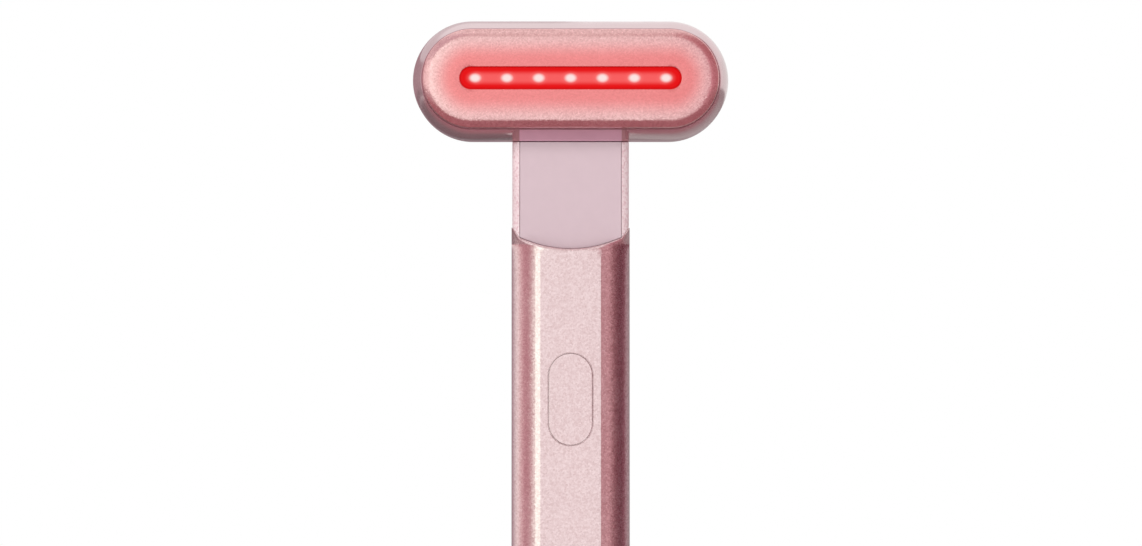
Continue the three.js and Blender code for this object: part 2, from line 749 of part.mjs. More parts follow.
const headSpan = (headWidth - headHeight) / 2;
const plateRadius = headHeight / 2 - ringWidth;
const plateBack = plateThickness - plateReach;
const housingFront = plateBack + gasketThickness;
const housingBack = housingFront + housingDepth;
const landRadius = headHeight / 2 - ringWidth - landWidth;
const filmFront = plateBack + filmGap;
const lightBoardFront = filmFront + filmThickness + filmGap;
const lightBoardBack = lightBoardFront + boardThickness;
const windowLength = headWidth - 2 * windowInset;
const windowSpan = (windowLength - windowHeight) / 2;
const windowRadius = windowHeight / 2;
const windowFront = windowSink - plateReach;
const windowBack = lightBoardFront - seatGap - ledThickness - windowGap;
const lipFront = windowBack - windowLipThickness;
const ledPitch = (windowLength - 2 * ledInset) / (ledCount - 1);
const motorRadius = headHeight / 2 - backRoundWidth - motorMargin;

// Points of a quarter ellipse about a centre, from one angle to another.
function roundProfile(radius, depth, reach, rise, from, to) {
  const points = [];
  for (let i = 0; i <= 2 * arcSteps; i += 1) {
    const angle = from + ((to - from) * i) / (2 * arcSteps);
    points.push([radius + reach * Math.cos(angle), depth + rise * Math.sin(angle)]);
  }
  return points;
}

// Outside of the housing: a round front shoulder outside the plate and a rounder back.
function housingSkin() {
  const outer = headHeight / 2;
  const frontTurn = housingFront + frontRoundDepth;
  const backTurn = housingBack - backRoundDepth;
  return stadium([
    [0, housingFront],
    ...roundProfile(outer - ringWidth, frontTurn, ringWidth, frontRoundDepth, -quarterTurn, 0),
    ...roundProfile(outer - backRoundWidth, backTurn, backRoundWidth, backRoundDepth, 0, quarterTurn),
    [0, housingBack],
  ], headSpan);
}

function housingHollow() {
  const outer = headHeight / 2 - housingWall;
  const backTurn = housingBack - backRoundDepth;
  const reach = backRoundWidth - housingWall;
  const rise = backRoundDepth - housingWall;
  const landBack = housingFront + landThickness;
  return stadium([
    [0, housingFront - overrun],
    [landRadius, housingFront - overrun],
    [landRadius, landBack],
    [outer, landBack + landTaper],
    ...roundProfile(outer - reach, backTurn, reach, rise, 0, quarterTurn),
    [0, housingBack - housingWall],
  ], headSpan);
}

function headHousing() {
  const bottom = housingBottom - overrun;
  const boss = roundedRectangle(
    collarBossWidth / 2 + collarGap,
    collarBossDepth / 2 + collarGap,
    collarBossCorner + collarGap,
  );
  const headRadius = spigotHeadRadius + runningGap;
  const spigotHeadRoom = cylinder(headRadius, spigotHeadBottom, spigotHeadTop + overrun, 0, 0, ringSteps);
  return housingSkin()
    .subtract(housingHollow())
    .subtract(alongZ(neckOutline(collarGap), bottom, collarTop + collarGap))
    .subtract(alongZ(boss, bottom, housingFloor + overrun))
    .subtract(spigotHeadRoom);
}

function contactPlate() {
  const front = -plateReach;
  const bevelBack = front + plateBevelDepth;
  const flat = plateRadius - plateBevelWidth;
  const body = stadium([
    [0, front],
    ...roundProfile(flat, bevelBack, plateBevelWidth, plateBevelDepth, -quarterTurn, 0),
    [plateRadius, plateBack],
    [0, plateBack],
  ], headSpan);
  const lipRadius = windowRadius + windowLip + windowGap;
  return body
    .subtract(flatStadium(windowRadius, windowSpan, front - overrun, plateBack + overrun))
    .subtract(flatStadium(lipRadius, windowSpan, lipFront - windowGap, plateBack + overrun));
}

function lightWindow() {
  const radius = windowRadius - windowGap;
  return stadium([
    [0, windowFront],
    [radius - windowEdge, windowFront],
    [radius, windowFront + windowEdge],
    [radius, lipFront],
    [radius + windowLip, lipFront],
    [radius + windowLip, windowBack],
    [0, windowBack],
  ], windowSpan);
}

function plateGasket() {
  const outer = plateRadius - gasketInset;
  const front = plateBack + seatGap;
  const back = housingFront - seatGap;
  return flatStadium(outer, headSpan, front, back)
    .subtract(flatStadium(outer - gasketWidth, headSpan, front - overrun, back + overrun));
}

function heaterFilm() {
  const inner = windowRadius + windowLip + windowGap + seatGap;
  const outer = plateRadius - gasketInset - gasketWidth - filmInset;
  return flatStadium(outer, headSpan, filmFront, filmFront + filmThickness)
    .subtract(flatStadium(inner, windowSpan, filmFront - overrun, filmFront + overrun));
}

function lightBoard() {
  return flatStadium(landRadius - lightBoardGap, headSpan, lightBoardFront, lightBoardBack);
}

// One LED, on the board's face at the origin of its own mesh.
function led() {
  const options = {
    depth: ledThickness - 2 * ledEdge,
    bevelThickness: ledEdge,
    bevelSize: ledEdge,
    bevelOffset: -ledEdge,
    bevelSegments: 1,
    curveSegments: 1,
  };
  const shape = roundedRectangle(ledWidth / 2, ledHeight / 2, ledEdge + seatGap);
  const geometry = new THREE.ExtrudeGeometry(shape, options).rotateX(quarterTurn);
  return solidOf(geometry.translate(0, -ledEdge, 0));
}

function vibrationMotor() {
  const back = housingBack - housingWall - seatGap;
  return alongY(capsule(motorRadius, motorRadius), back - motorThickness, back, -motorOffset, 0);
}

// Leads from the top of the main board, up the spigot's bore and forward to the light board.
function headLeads() {
  const bottom = toHead(mainBoardTop + connectorOverhang) + seatGap;
  const bend = housingFloor + spigotHeadHeight + leadsRadius;
  const end = bend + leadsRise;
  const boardSide = lightBoardBack + seatGap;
  const path = new THREE.CurvePath();
  path.add(new THREE.LineCurve3(new THREE.Vector3(0, 0, bottom), new THREE.Vector3(0, 0, bend)));
  path.add(new THREE.CubicBezierCurve3(
    new THREE.Vector3(0, 0, bend),
    new THREE.Vector3(0, 0, end),
    new THREE.Vector3(0, 0, end),
    new THREE.Vector3(0, boardSide, end),
  ));
  const section = [];
  for (let i = 0; i < leadsSides; i += 1) {
    const angle = (i * 4 * quarterTurn) / leadsSides;
    section.push(new THREE.Vector2(leadsRadius * Math.cos(angle), leadsRadius * Math.sin(angle)));
  }
  const options = { steps: leadsSteps, extrudePath: path };
  return solidOf(new THREE.ExtrudeGeometry(new THREE.Shape(section), options));
}

// Finishes

function finish(color, roughness, metalness) {
  return new THREE.MeshStandardMaterial({ color, roughness, metalness });
}

const roseMetal = () => finish(0xe2c0c2, 0.38, 0.75);
const smokyRose = () => finish(0xc9b1b3, 0.22, 0);
const frostedRose = () => finish(0xdcc4c9, 0.4, 0);
const redLens = () => finish(0xe8252b, 0.15, 0);
const ledDome = () => finish(0xffe9e6, 0.3, 0);
const brightSteel = () => finish(0xb9bcc0, 0.3, 1);
const darkRubber = () => finish(0x7a4f55, 0.8, 0);
const boardGreen = () => finish(0x2f6b4a, 0.6, 0);
const chipBlack = () => finish(0x1f2022, 0.5, 0);
const palePlastic = () => finish(0xdedcd6, 0.55, 0);
const cellFoil = () => finish(0xc3c6c9, 0.35, 0.6);
const filmAmber = () => finish(0xb9762f, 0.4, 0);

function piece(name, solid, material) {
  const { vertProperties, triVerts } = solid.getMesh();
  const geometry = new THREE.BufferGeometry();
  geometry.setAttribute("position", new THREE.BufferAttribute(vertProperties, 3));
  geometry.setIndex(new THREE.BufferAttribute(triVerts, 1));
  const mesh = new THREE.Mesh(toCreasedNormals(geometry, creaseAngle), material);
  mesh.name = name;
  return mesh;
}

// Assembly

function handleGroup() {
  const group = new THREE.Group();
  group.add(
    piece("handle_sleeve", handleSleeve(), roseMetal()),
    piece("end_cap", endCap(), roseMetal()),
    piece("end_seal", endSeal(), darkRubber()),
    piece("charging_socket", chargingSocket(), brightSteel()),
    piece("socket_tongue", socketTongue(), chipBlack()),
    piece("charge_board", chargeBoard(), boardGreen()),
    piece("charge_chip", chargeChip(), chipBlack()),
    piece("chassis", chassis(), palePlastic()),
    piece("battery", battery(), cellFoil()),
    piece("battery_pad", batteryPad(), darkRubber()),
    piece("main_board", mainBoard(), boardGreen()),
    piece("tact_switch", tactSwitch(), chipBlack()),
    piece("driver_chip", driverChip(), chipBlack()),
    piece("lead_connector", leadConnector(), palePlastic()),
    piece("button_guide", buttonGuide(), darkRubber()),
    piece("neck_frame", neckFrame(), frostedRose()),
    piece("neck_panel", neckPanel(), frostedRose()),
  );
  const capScrewLength = chassisBottom + screwBite - screwSink;
  const neckScrewHead = chassisTop - bulkheadThickness - screwHeadHeight - seatGap;
  const neckScrewLength = coreBottom + screwBite - neckScrewHead;
  for (const [side, x] of [["left", -screwX], ["right", screwX]]) {
    const capScrew = piece(`cap_screw_${side}`, screw(capScrewLength), brightSteel());
    capScrew.position.set(x, screwY, screwSink);
    const neckScrew = piece(`neck_screw_${side}`, screw(neckScrewLength), brightSteel());
    neckScrew.position.set(x, screwY, neckScrewHead);
    group.add(capScrew, neckScrew);
  }
  return group;
}

function buttonGroup() {
  const group = new THREE.Group();
  group.add(
    piece("button_cap", buttonCap(), roseMetal()),
    piece("switch_stem", switchStem(), palePlastic()),
  );
  return group;
}

function headGroup() {
  const group = new THREE.Group();
  group.add(
    piece("head_housing", headHousing(), smokyRose()),
    piece("contact_plate", contactPlate(), roseMetal()),
    piece("light_window", lightWindow(), redLens()),
    piece("plate_gasket", plateGasket(), darkRubber()),
    piece("heater_film", heaterFilm(), filmAmber()),
    piece("light_board", lightBoard(), boardGreen()),
    piece("vibration_motor", vibrationMotor(), brightSteel()),
    piece("swivel_collar", swivelCollar(), frostedRose()),
    piece("swivel_spigot", swivelSpigot(), brightSteel()),
    piece("stop_ring", stopRing(), brightSteel()),
    piece("friction_washer", frictionWasher(), palePlastic()),
    piece("spigot_clip", spigotClip(), brightSteel()),
    piece("head_leads", headLeads(), chipBlack()),
  );
  for (let i = 0; i < ledCount; i += 1) {
    const mesh = piece(`led_${i + 1}`, led(), ledDome());
    const x = (i - (ledCount - 1) / 2) * ledPitch;
    mesh.position.set(x, lightBoardFront - seatGap, 0);
    group.add(mesh);
  }
  group.position.z = headCentre;
  return group;
}

const wand = new THREE.Group();
wand.add(handleGroup(), buttonGroup(), headGroup());

export default wand;
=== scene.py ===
"""Dresses the light wand: shaped shells, finishes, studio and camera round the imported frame."""
import json
import logging
import math
from dataclasses import dataclass, field
from enum import Enum
from typing import Collection, Optional, Sequence, Union

import bmesh
import bpy
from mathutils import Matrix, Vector


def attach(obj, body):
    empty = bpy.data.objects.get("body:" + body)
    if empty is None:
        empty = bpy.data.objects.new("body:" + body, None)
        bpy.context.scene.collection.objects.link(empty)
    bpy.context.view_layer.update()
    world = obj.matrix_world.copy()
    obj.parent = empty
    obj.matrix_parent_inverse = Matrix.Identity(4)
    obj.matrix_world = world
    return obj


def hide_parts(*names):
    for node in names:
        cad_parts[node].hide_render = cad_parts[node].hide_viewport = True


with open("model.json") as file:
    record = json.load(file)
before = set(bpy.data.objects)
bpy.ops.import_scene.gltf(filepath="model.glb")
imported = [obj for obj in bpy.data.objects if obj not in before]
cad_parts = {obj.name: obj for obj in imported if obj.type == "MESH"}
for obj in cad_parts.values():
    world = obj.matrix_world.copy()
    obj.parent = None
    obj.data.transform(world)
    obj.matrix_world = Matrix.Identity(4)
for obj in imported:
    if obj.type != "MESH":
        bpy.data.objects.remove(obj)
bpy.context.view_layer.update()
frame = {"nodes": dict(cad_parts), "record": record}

LOG = logging.getLogger("wand")
MILLIMETRE = 0.001
QUARTER = math.pi / 2

# Points of an outline that are closer than this are one, in millimetres
SAME_POINT = 1e-6

# Corners of a cut plate that are closer than this are welded, in metres
WELD = 1e-7

# Edges that turn by more degrees than this stay sharp, where a piece doesn't say otherwise
SMOOTH_TURN = 35.0

# The range that most of a noise texture lies in
NOISE_LOW = 0.3
NOISE_HIGH = 0.7

# The colour sockets of a Mix node
MIX_FIRST = 6
MIX_SECOND = 7
MIX_RESULT = 2

Flat = tuple[float, float]
Point = tuple[float, float, float]
Color = tuple[int, int, int]
Paint = tuple[float, float, float, float]
Stops = tuple[tuple[float, Point], ...]
Value = Union[float, int, tuple, bpy.types.NodeSocket]


class Body(Enum):
    """The bodies that pieces ride on."""

    HANDLE = "handle"
    BUTTON = "button"
    HEAD = "head"


class Slot(Enum):
    """The record's material slots."""

    ROSE_METAL = "rose_metal"
    PLATE_METAL = "plate_metal"
    ROSE_PLASTIC = "rose_plastic"
    SMOKY_ROSE = "smoky_rose"
    FROSTED_ROSE = "frosted_rose"
    PANEL_ROSE = "panel_rose"
    COLLAR_ROSE = "collar_rose"
    RED_LENS = "red_lens"
    LED_DOME = "led_dome"
    BRIGHT_STEEL = "bright_steel"
    DARK_RUBBER = "dark_rubber"
    CIRCUIT_BOARD = "circuit_board"
    BLACK_PLASTIC = "black_plastic"
    PALE_PLASTIC = "pale_plastic"
    CELL_FOIL = "cell_foil"
    FILM_AMBER = "film_amber"


class Ends(Enum):
    """How the first and last loop of a loft are closed."""

    CAPPED = "capped"
    JOINED = "joined"


# Outlines, in millimetres


def arc(centre: Flat, radii: Flat, start: float, end: float, steps: int) -> list[Flat]:
    """Points of an elliptical arc.

    Args:
        centre: Middle of the ellipse.
        radii: Its two half axes.
        start: First angle.
        end: Last angle.
        steps: Number of parts that the arc is cut into.

    Returns:
        Both end points and those between them.
    """
    points = []
    for i in range(steps + 1):
        angle = start + (end - start) * i / steps
        x = centre[0] + radii[0] * math.cos(angle)
        y = centre[1] + radii[1] * math.sin(angle)
        points.append((x, y))
    return points


def line(start: Flat, end: Flat, steps: int) -> list[Flat]:
    """Points of a straight line.

    Args:
        start: First point.
        end: Last point.
        steps: Number of parts that the line is cut into.

    Returns:
        Both end points and those between them.
    """
    return [
        (start[0] + (end[0] - start[0]) * i / steps, start[1] + (end[1] - start[1]) * i / steps)
        for i in range(steps + 1)
    ]


def chain(*runs: Sequence[Flat]) -> list[Flat]:
    """Joins runs of points and drops each point that repeats the one before it.

    Args:
        *runs: Runs of points, in order round an outline.

    Returns:
        The whole outline, whose last point differs from its first.
    """
    points: list[Flat] = []
    for run in runs:
        for point in run:
            if not points or math.dist(points[-1], point) > SAME_POINT:
                points.append(point)
    if math.dist(points[0], points[-1]) < SAME_POINT:
        points.pop()
    return points


def mirrored(half: Sequence[Flat]) -> list[Flat]:
    """Closes a right half that runs from the front middle to the back middle.

    Args:
        half: Points with x of zero or more, from the lowest y to the highest.

    Returns:
        The outline of both halves.
    """
    left = [(-x, y) for x, y in reversed(half)]
    return chain(half, left)


def rounded_rectangle(
    half_x: float, half_y: float, corner: float, steps: int, parts: int = 6
) -> list[Flat]:
    """Outline of a rectangle with round corners, from its front middle.

    Args:
        half_x: Half the width.
        half_y: Half the depth.
        corner: Radius of the corners.
        steps: Parts of each corner.
        parts: Parts of each side, and of each half of the front and the back.

    Returns:
        The outline.
    """
    x = half_x - corner
    y = half_y - corner
    return mirrored(chain(
        line((0, -half_y), (x, -half_y), parts),
        arc((x, -y), (corner, corner), -QUARTER, 0, steps),
        line((half_x, -y), (half_x, y), parts),
        arc((x, y), (corner, corner), 0, QUARTER, steps),
        line((x, half_y), (0, half_y), parts),
    ))


def capsule(radius: float, span: float, steps: int, parts: int) -> list[Flat]:
    """Outline of a capsule that lies along its own first axis.

    Args:
        radius: Radius of its round ends.
        span: Half the distance between the centres of the ends.
        steps: Parts of each round end.
        parts: Parts of each straight side.

    Returns:
        The outline.
    """
    return chain(
        arc((span, 0), (radius, radius), -QUARTER, QUARTER, steps),
        line((span, radius), (-span, radius), parts),
        arc((-span, 0), (radius, radius), QUARTER, 3 * QUARTER, steps),
        line((-span, -radius), (span, -radius), parts),
    )


def bent_slope(start: float, end: float, steps: int) -> list[Flat]:
    """Points of a slope that bends evenly from one angle to another.

    Args:
        start: Angle of the face where it starts.
        end: Angle of the face where it ends.
        steps: Number of parts.

    Returns:
        Shares of the slope's width and depth, from (0, 0) to (1, 1).
    """
    points = []
    for i in range(steps + 1):
        angle = start + (end - start) * i / steps
        across = (math.sin(angle) - math.sin(start)) / (math.sin(end) - math.sin(start))
        down = (math.cos(start) - math.cos(angle)) / (math.cos(start) - math.cos(end))
        points.append((across, down))
    return points


def circle(radius: float, steps: int, centre: Flat = (0.0, 0.0)) -> list[Flat]:
    """Outline of a circle.

    Args:
        radius: Its radius.
        steps: Number of points.
        centre: Its middle.

    Returns:
        The outline.
    """
    return chain(arc(centre, (radius, radius), 0, 4 * QUARTER, steps))


def between(outside: Sequence[Flat], inside: Sequence[Flat], share: float) -> list[Flat]:
    """Outline that lies some share of the way from one outline to another.

    Args:
        outside: The first outline.
        inside: The other, with as many points.
        share: How far towards it.

    Returns:
        The outline.
    """
    return [
        (ax + (bx - ax) * share, ay + (by - ay) * share)
        for (ax, ay), (bx, by) in zip(outside, inside)
    ]


def bearings(outline: Sequence[Flat]) -> list[float]:
    """Angles at which the points of an outline stand."""
    return [math.atan2(y, x) for x, y in outline]


def spokes(radius: float, angles: Sequence[float]) -> list[Flat]:
    """Points of a circle at given angles."""
    return [(radius * math.cos(angle), radius * math.sin(angle)) for angle in angles]


def level(outline: Sequence[Flat], height: float) -> list[Point]:
    """Lays an outline level at a height."""
    return [(x, y, height) for x, y in outline]


def upright(outline: Sequence[Flat], depth: float, height: float) -> list[Point]:
    """Stands an outline up at a depth, its middle at a height."""
    return [(x, depth, height + z) for x, z in outline]


# Meshes


@dataclass
class Draft:
    """The corners and faces of one piece, in millimetres, gathered loop by loop."""

    name: str
    corners: list[Point] = field(default_factory=list)
    faces: list[tuple[int, ...]] = field(default_factory=list)
    hard: set[frozenset[int]] = field(default_factory=set)

    def loop(self, points: Sequence[Point]) -> list[int]:
        """Adds points.

        Args:
            points: The points, in order.

        Returns:
            The number of each new corner.
        """
        first = len(self.corners)
        self.corners.extend(points)
        return list(range(first, first + len(points)))

    def bridge(
        self, lower: Sequence[int], upper: Sequence[int], hole: Collection[int] = ()
    ) -> None:
        """Joins two closed loops of as many corners with four-sided faces.

        Args:
            lower: One loop.
            upper: The other loop.
            hole: Places at which no face is made.
        """
        count = len(lower)
        for i in range(count):
            if i not in hole:
                j = (i + 1) % count
                self.faces.append((lower[i], lower[j], upper[j], upper[i]))

    def join(self, rows: Sequence[Sequence[int]]) -> None:
        """Bridges loops one after another."""
        for lower, upper in zip(rows, rows[1:]):
            self.bridge(lower, upper)

    def loft(self, loops: Sequence[Sequence[Point]], ends: Ends) -> list[list[int]]:
        """Joins loops one after another.

        Args:
            loops: Closed loops of as many points.
            ends: How the first and the last are closed.

        Returns:
            The corner numbers of each loop.
        """
        rows = [self.loop(points) for points in loops]
        self.join(rows)
        if ends is Ends.JOINED:
            self.bridge(rows[-1], rows[0])
        if ends is Ends.CAPPED:
            self.faces.append(tuple(reversed(rows[0])))
            self.faces.append(tuple(rows[-1]))
        return rows

    def crease(self, corners: Sequence[int]) -> None:
        """Keeps the edges along a run of corners sharp."""
        for a, b in zip(corners, corners[1:]):
            self.hard.add(frozenset((a, b)))

    def block(self, low: Point, high: Point) -> None:
        """Adds a small block.

        Args:
            low: Its lowest corner.
            high: Its highest corner.
        """
        ring = [(low[0], low[1]), (high[0], low[1]), (high[0], high[1]), (low[0], high[1])]
        self.loft([level(ring, low[2]), level(ring, high[2])], Ends.CAPPED)

    def build(self, smooth: float = SMOOTH_TURN) -> bpy.types.Object:
        """Makes the object, in metres.

        Args:
            smooth: Edges that turn by more degrees than this stay sharp.

        Returns:
            The new object, linked to the scene.
        """
        mesh = bpy.data.meshes.new(self.name)
        mesh.from_pydata([Vector(corner) * MILLIMETRE for corner in self.corners], [], self.faces)
        work = bmesh.new()
        work.from_mesh(mesh)
        bmesh.ops.recalc_face_normals(work, faces=work.faces)
        work.to_mesh(mesh)
        work.free()
        mesh.shade_smooth()
        mesh.set_sharp_from_angle(angle=math.radians(smooth))
        if self.hard:
            sharp = mesh.attributes["sharp_edge"].data
            for edge in mesh.edges:
                if frozenset(edge.vertices) in self.hard:
                    sharp[edge.index].value = True
        return evened(placed(self.name, mesh))


def placed(name: str, data: bpy.types.ID) -> bpy.types.Object:
    """Makes an object of a mesh, a curve, a lamp or a camera, and links it to the scene."""
    made = bpy.data.objects.new(name, data)
    bpy.context.scene.collection.objects.link(made)
    return made


def evened(piece: bpy.types.Object) -> bpy.types.Object:
    """Leans each corner's shading on its largest faces, so that flats stay flat beside roundings.

    Args:
        piece: The piece.

    Returns:
        The same piece, with its new mesh.
    """
    weighting = piece.modifiers.new("weighting", "WEIGHTED_NORMAL")
    weighting.mode = "FACE_AREA"
    weighting.keep_sharp = True
    graph = bpy.context.evaluated_depsgraph_get()
    mesh = bpy.data.meshes.new_from_object(piece.evaluated_get(graph))
    piece.modifiers.clear()
    piece.data = mesh
    mesh.name = piece.name
    return piece


def pierced_plate(
    name: str,
    outline: Sequence[Flat],
    holes: Sequence[Sequence[Flat]],
    bottom: float,
    top: float,
    edge: float,
    edge_steps: int = 3,
) -> bpy.types.Object:
    """Makes a level plate with holes and rounded edges.

    Args:
        name: Name of the piece.
        outline: Its outside.
        holes: The outlines of its holes.
        bottom: Height of its underside.
        top: Height of its upper side.
        edge: Width of its rounded edges.
        edge_steps: Rows of corners along each rounding.

    Returns:
        The new object, linked to the scene.
    """
    curve = bpy.data.curves.new(name, "CURVE")
    curve.dimensions = "2D"
    curve.fill_mode = "BOTH"
    curve.extrude = ((top - bottom) / 2 - edge) * MILLIMETRE
    curve.bevel_depth = edge * MILLIMETRE
    curve.bevel_resolution = edge_steps
    curve.offset = -edge * MILLIMETRE
    for run in (outline, *holes):
        spline = curve.splines.new("POLY")
        spline.points.add(len(run) - 1)
        for point, (x, y) in zip(spline.points, run):
            point.co = (x * MILLIMETRE, y * MILLIMETRE, 0, 1)
        spline.use_cyclic_u = True
    drawn = placed(name + "_outline", curve)
    graph = bpy.context.evaluated_depsgraph_get()
    mesh = bpy.data.meshes.new_from_object(drawn.evaluated_get(graph))
    bpy.data.objects.remove(drawn)
    work = bmesh.new()
    work.from_mesh(mesh)
    bmesh.ops.remove_doubles(work, verts=work.verts, dist=WELD)
    bmesh.ops.translate(work, verts=work.verts, vec=(0, 0, (top + bottom) / 2 * MILLIMETRE))
    bmesh.ops.recalc_face_normals(work, faces=work.faces)
    work.to_mesh(mesh)
    work.free()
    mesh.shade_smooth()
    mesh.set_sharp_from_angle(angle=math.radians(SMOOTH_TURN))
    return evened(placed(name, mesh))


# Shader nodes


def shade(red: int, green: int, blue: int) -> Paint:
    """Turns a display colour into a shader colour.

    Args:
        red: Red, 0 to 255.
        green: Green, 0 to 255.
        blue: Blue, 0 to 255.

    Returns:
        The shader colour.
    """
    shares = [value / 255 for value in (red, green, blue)]
    linear = [
        share / 12.92 if share <= 0.04045 else ((share + 0.055) / 1.055) ** 2.4
        for share in shares
    ]
    return (*linear, 1.0)


def scaled(paint: Paint, shares: Point) -> Paint:
    """Multiplies each channel of a shader colour by its share, up to full light."""
    return tuple(min(channel * share, 1.0) for channel, share in zip(paint, shares)) + (1.0,)


def paled(paint: Paint, share: float) -> Paint:
    """Moves a shader colour some share of the way to white."""
    return tuple(channel + (1 - channel) * share for channel in paint[:3]) + (1.0,)


class Desk:
    """A node tree under work: adds nodes and feeds their sockets."""

    def __init__(self, tree: bpy.types.NodeTree) -> None:
        """Takes the tree to work on."""
        self.tree = tree

    @staticmethod
    def material(name: str) -> tuple["Desk", bpy.types.Node, bpy.types.Material]:
        """Starts a material.

        Args:
            name: Its name.

        Returns:
            Its desk, its shader and the material.
        """
        material = bpy.data.materials.new(name)
        material.use_nodes = True
        return Desk(material.node_tree), material.node_tree.nodes["Principled BSDF"], material

    def add(self, kind: str, **settings: object) -> bpy.types.Node:
        """Adds a node.

        Args:
            kind: Its type, without the ShaderNode prefix.
            **settings: Properties to set on it.

        Returns:
            The node.
        """
        node = self.tree.nodes.new("ShaderNode" + kind)
        for key, value in settings.items():
            setattr(node, key, value)
        return node

    def feed(self, socket: bpy.types.NodeSocket, value: Value) -> None:
        """Links a socket, or sets it to a constant.

        Args:
            socket: The socket.
            value: What it is fed with.
        """
        if isinstance(value, bpy.types.NodeSocket):
            self.tree.links.new(value, socket)
        else:
            socket.default_value = value

    def math(self, operation: str, *values: Value, clamp: bool = False) -> bpy.types.NodeSocket:
        """Adds a Math node.

        Args:
            operation: Its operation.
            *values: Its inputs.
            clamp: Whether the result is kept between 0 and 1.

        Returns:
            Its output.
        """
        node = self.add("Math", operation=operation, use_clamp=clamp)
        for socket, value in zip(node.inputs, values):
            self.feed(socket, value)
        return node.outputs[0]

    def vector(self, operation: str, *values: Value) -> bpy.types.Node:
        """Adds a Vector Math node.

        Args:
            operation: Its operation.
            *values: Its inputs.

        Returns:
            The node.
        """
        node = self.add("VectorMath", operation=operation)
        for socket, value in zip(node.inputs, values):
            self.feed(socket, value)
        return node

    def span(
        self, value: Value, low: Value, high: Value, start: Value = 0.0, end: Value = 1.0
    ) -> bpy.types.NodeSocket:
        """Maps a value smoothly from one range to another.

        Args:
            value: The value.
            low: Where the first range starts.
            high: Where the first range ends.
            start: Result at low.
            end: Result at high.

        Returns:
            The mapped value.
        """
        node = self.add("MapRange", interpolation_type="SMOOTHSTEP")
        for socket, given in zip(node.inputs, (value, low, high, start, end)):
            self.feed(socket, given)
        return node.outputs[0]

    def mix(self, factor: Value, first: Value, second: Value) -> bpy.types.NodeSocket:
        """Mixes two colours.

        Args:
            factor: Share of the second.
            first: First colour.
            second: Second colour.

        Returns:
            The mixed colour.
        """
        node = self.add("Mix", data_type="RGBA")
        self.feed(node.inputs["Factor"], factor)
        self.feed(node.inputs[MIX_FIRST], first)
        self.feed(node.inputs[MIX_SECOND], second)
        return node.outputs[MIX_RESULT]

    def share(self, value: Value, share: float) -> bpy.types.NodeSocket:
        """Multiplies a value by a share."""
        return self.math("MULTIPLY", value, share)

    def place(self) -> bpy.types.NodeSocket:
        """Gives the point on the piece, in its own frame."""
        return self.add("TexCoord").outputs["Object"]

    def parts(self, vector: Value) -> bpy.types.bpy_prop_collection:
        """Takes a vector apart into its X, Y and Z."""
        node = self.add("SeparateXYZ")
        self.feed(node.inputs[0], vector)
        return node.outputs

    def channels(self, color: Value) -> bpy.types.bpy_prop_collection:
        """Takes a colour apart into its red, green and blue."""
        node = self.add("SeparateColor")
        self.feed(node.inputs[0], color)
        return node.outputs

    def length(self, x: Value, y: Value) -> bpy.types.NodeSocket:
        """Gives the length of a flat vector.

        Args:
            x: Its first part.
            y: Its second part.

        Returns:
            The length.
        """
        joined = self.add("CombineXYZ")
        self.feed(joined.inputs["X"], x)
        self.feed(joined.inputs["Y"], y)
        return self.vector("LENGTH", joined.outputs[0]).outputs["Value"]

    def millimetres(self, metres: Value) -> bpy.types.NodeSocket:
        """Turns metres into millimetres."""
        return self.math("DIVIDE", metres, MILLIMETRE)

    def repeats(self, size: Value) -> bpy.types.NodeSocket:
        """Gives the scale of a texture from the size of its parts in millimetres."""
        return self.math("DIVIDE", 1 / MILLIMETRE, size)

    def noise(
        self,
        scale: Value,
        detail: Value = 2.0,
        distortion: float = 0.0,
        place: Optional[Value] = None,
    ) -> bpy.types.NodeSocket:
        """Adds a noise over the piece.

        Args:
            scale: Its scale.
            detail: Its detail.
            distortion: How far it is drawn out of shape.
            place: The place that it is read at, if not the point on the piece.

        Returns:
            Its value.
        """
        node = self.add("TexNoise")
        self.feed(node.inputs["Vector"], self.place() if place is None else place)
        self.feed(node.inputs["Scale"], scale)
        self.feed(node.inputs["Detail"], detail)
        self.feed(node.inputs["Distortion"], distortion)
        return node.outputs["Fac"]

    def cells(self, scale: Value, feature: str) -> bpy.types.Node:
        """Adds a cell pattern over the piece.

        Args:
            scale: Its scale.
            feature: What it gives of each cell.

        Returns:
            The node.
        """
        node = self.add("TexVoronoi", feature=feature)
        self.feed(node.inputs["Vector"], self.place())
        self.feed(node.inputs["Scale"], scale)
        return node

    def use(self, group: bpy.types.NodeTree, **values: Value) -> bpy.types.Node:
        """Places an effect.

        Args:
            group: The effect's node group.
            **values: Its inputs, with underscores for spaces.

        Returns:
            The placed node.
        """
        node = self.add("Group", node_tree=group)
        for key, value in values.items():
            self.feed(node.inputs[key.replace("_", " ")], value)
        return node


@dataclass(frozen=True)
class Effect:
    """An effect that several finishes share, built once as a node group."""

    name: str
    inputs: tuple[tuple[str, float], ...]
    outputs: tuple[tuple[str, str], ...]

    def start(self) -> tuple[Desk, bpy.types.Node, bpy.types.Node]:
        """Makes the empty group.

        Returns:
            Its desk, its input node and its output node.
        """
        tree = bpy.data.node_groups.new(self.name, "ShaderNodeTree")
        for name, value in self.inputs:
            socket = tree.interface.new_socket(
                name=name, in_out="INPUT", socket_type="NodeSocketFloat"
            )
            socket.default_value = value
        for name, kind in self.outputs:
            tree.interface.new_socket(name=name, in_out="OUTPUT", socket_type=kind)
        desk = Desk(tree)
        given = tree.nodes.new("NodeGroupInput")
        result = tree.nodes.new("NodeGroupOutput")
        return desk, given, result


FLOAT = "NodeSocketFloat"
VECTOR = "NodeSocketVector"


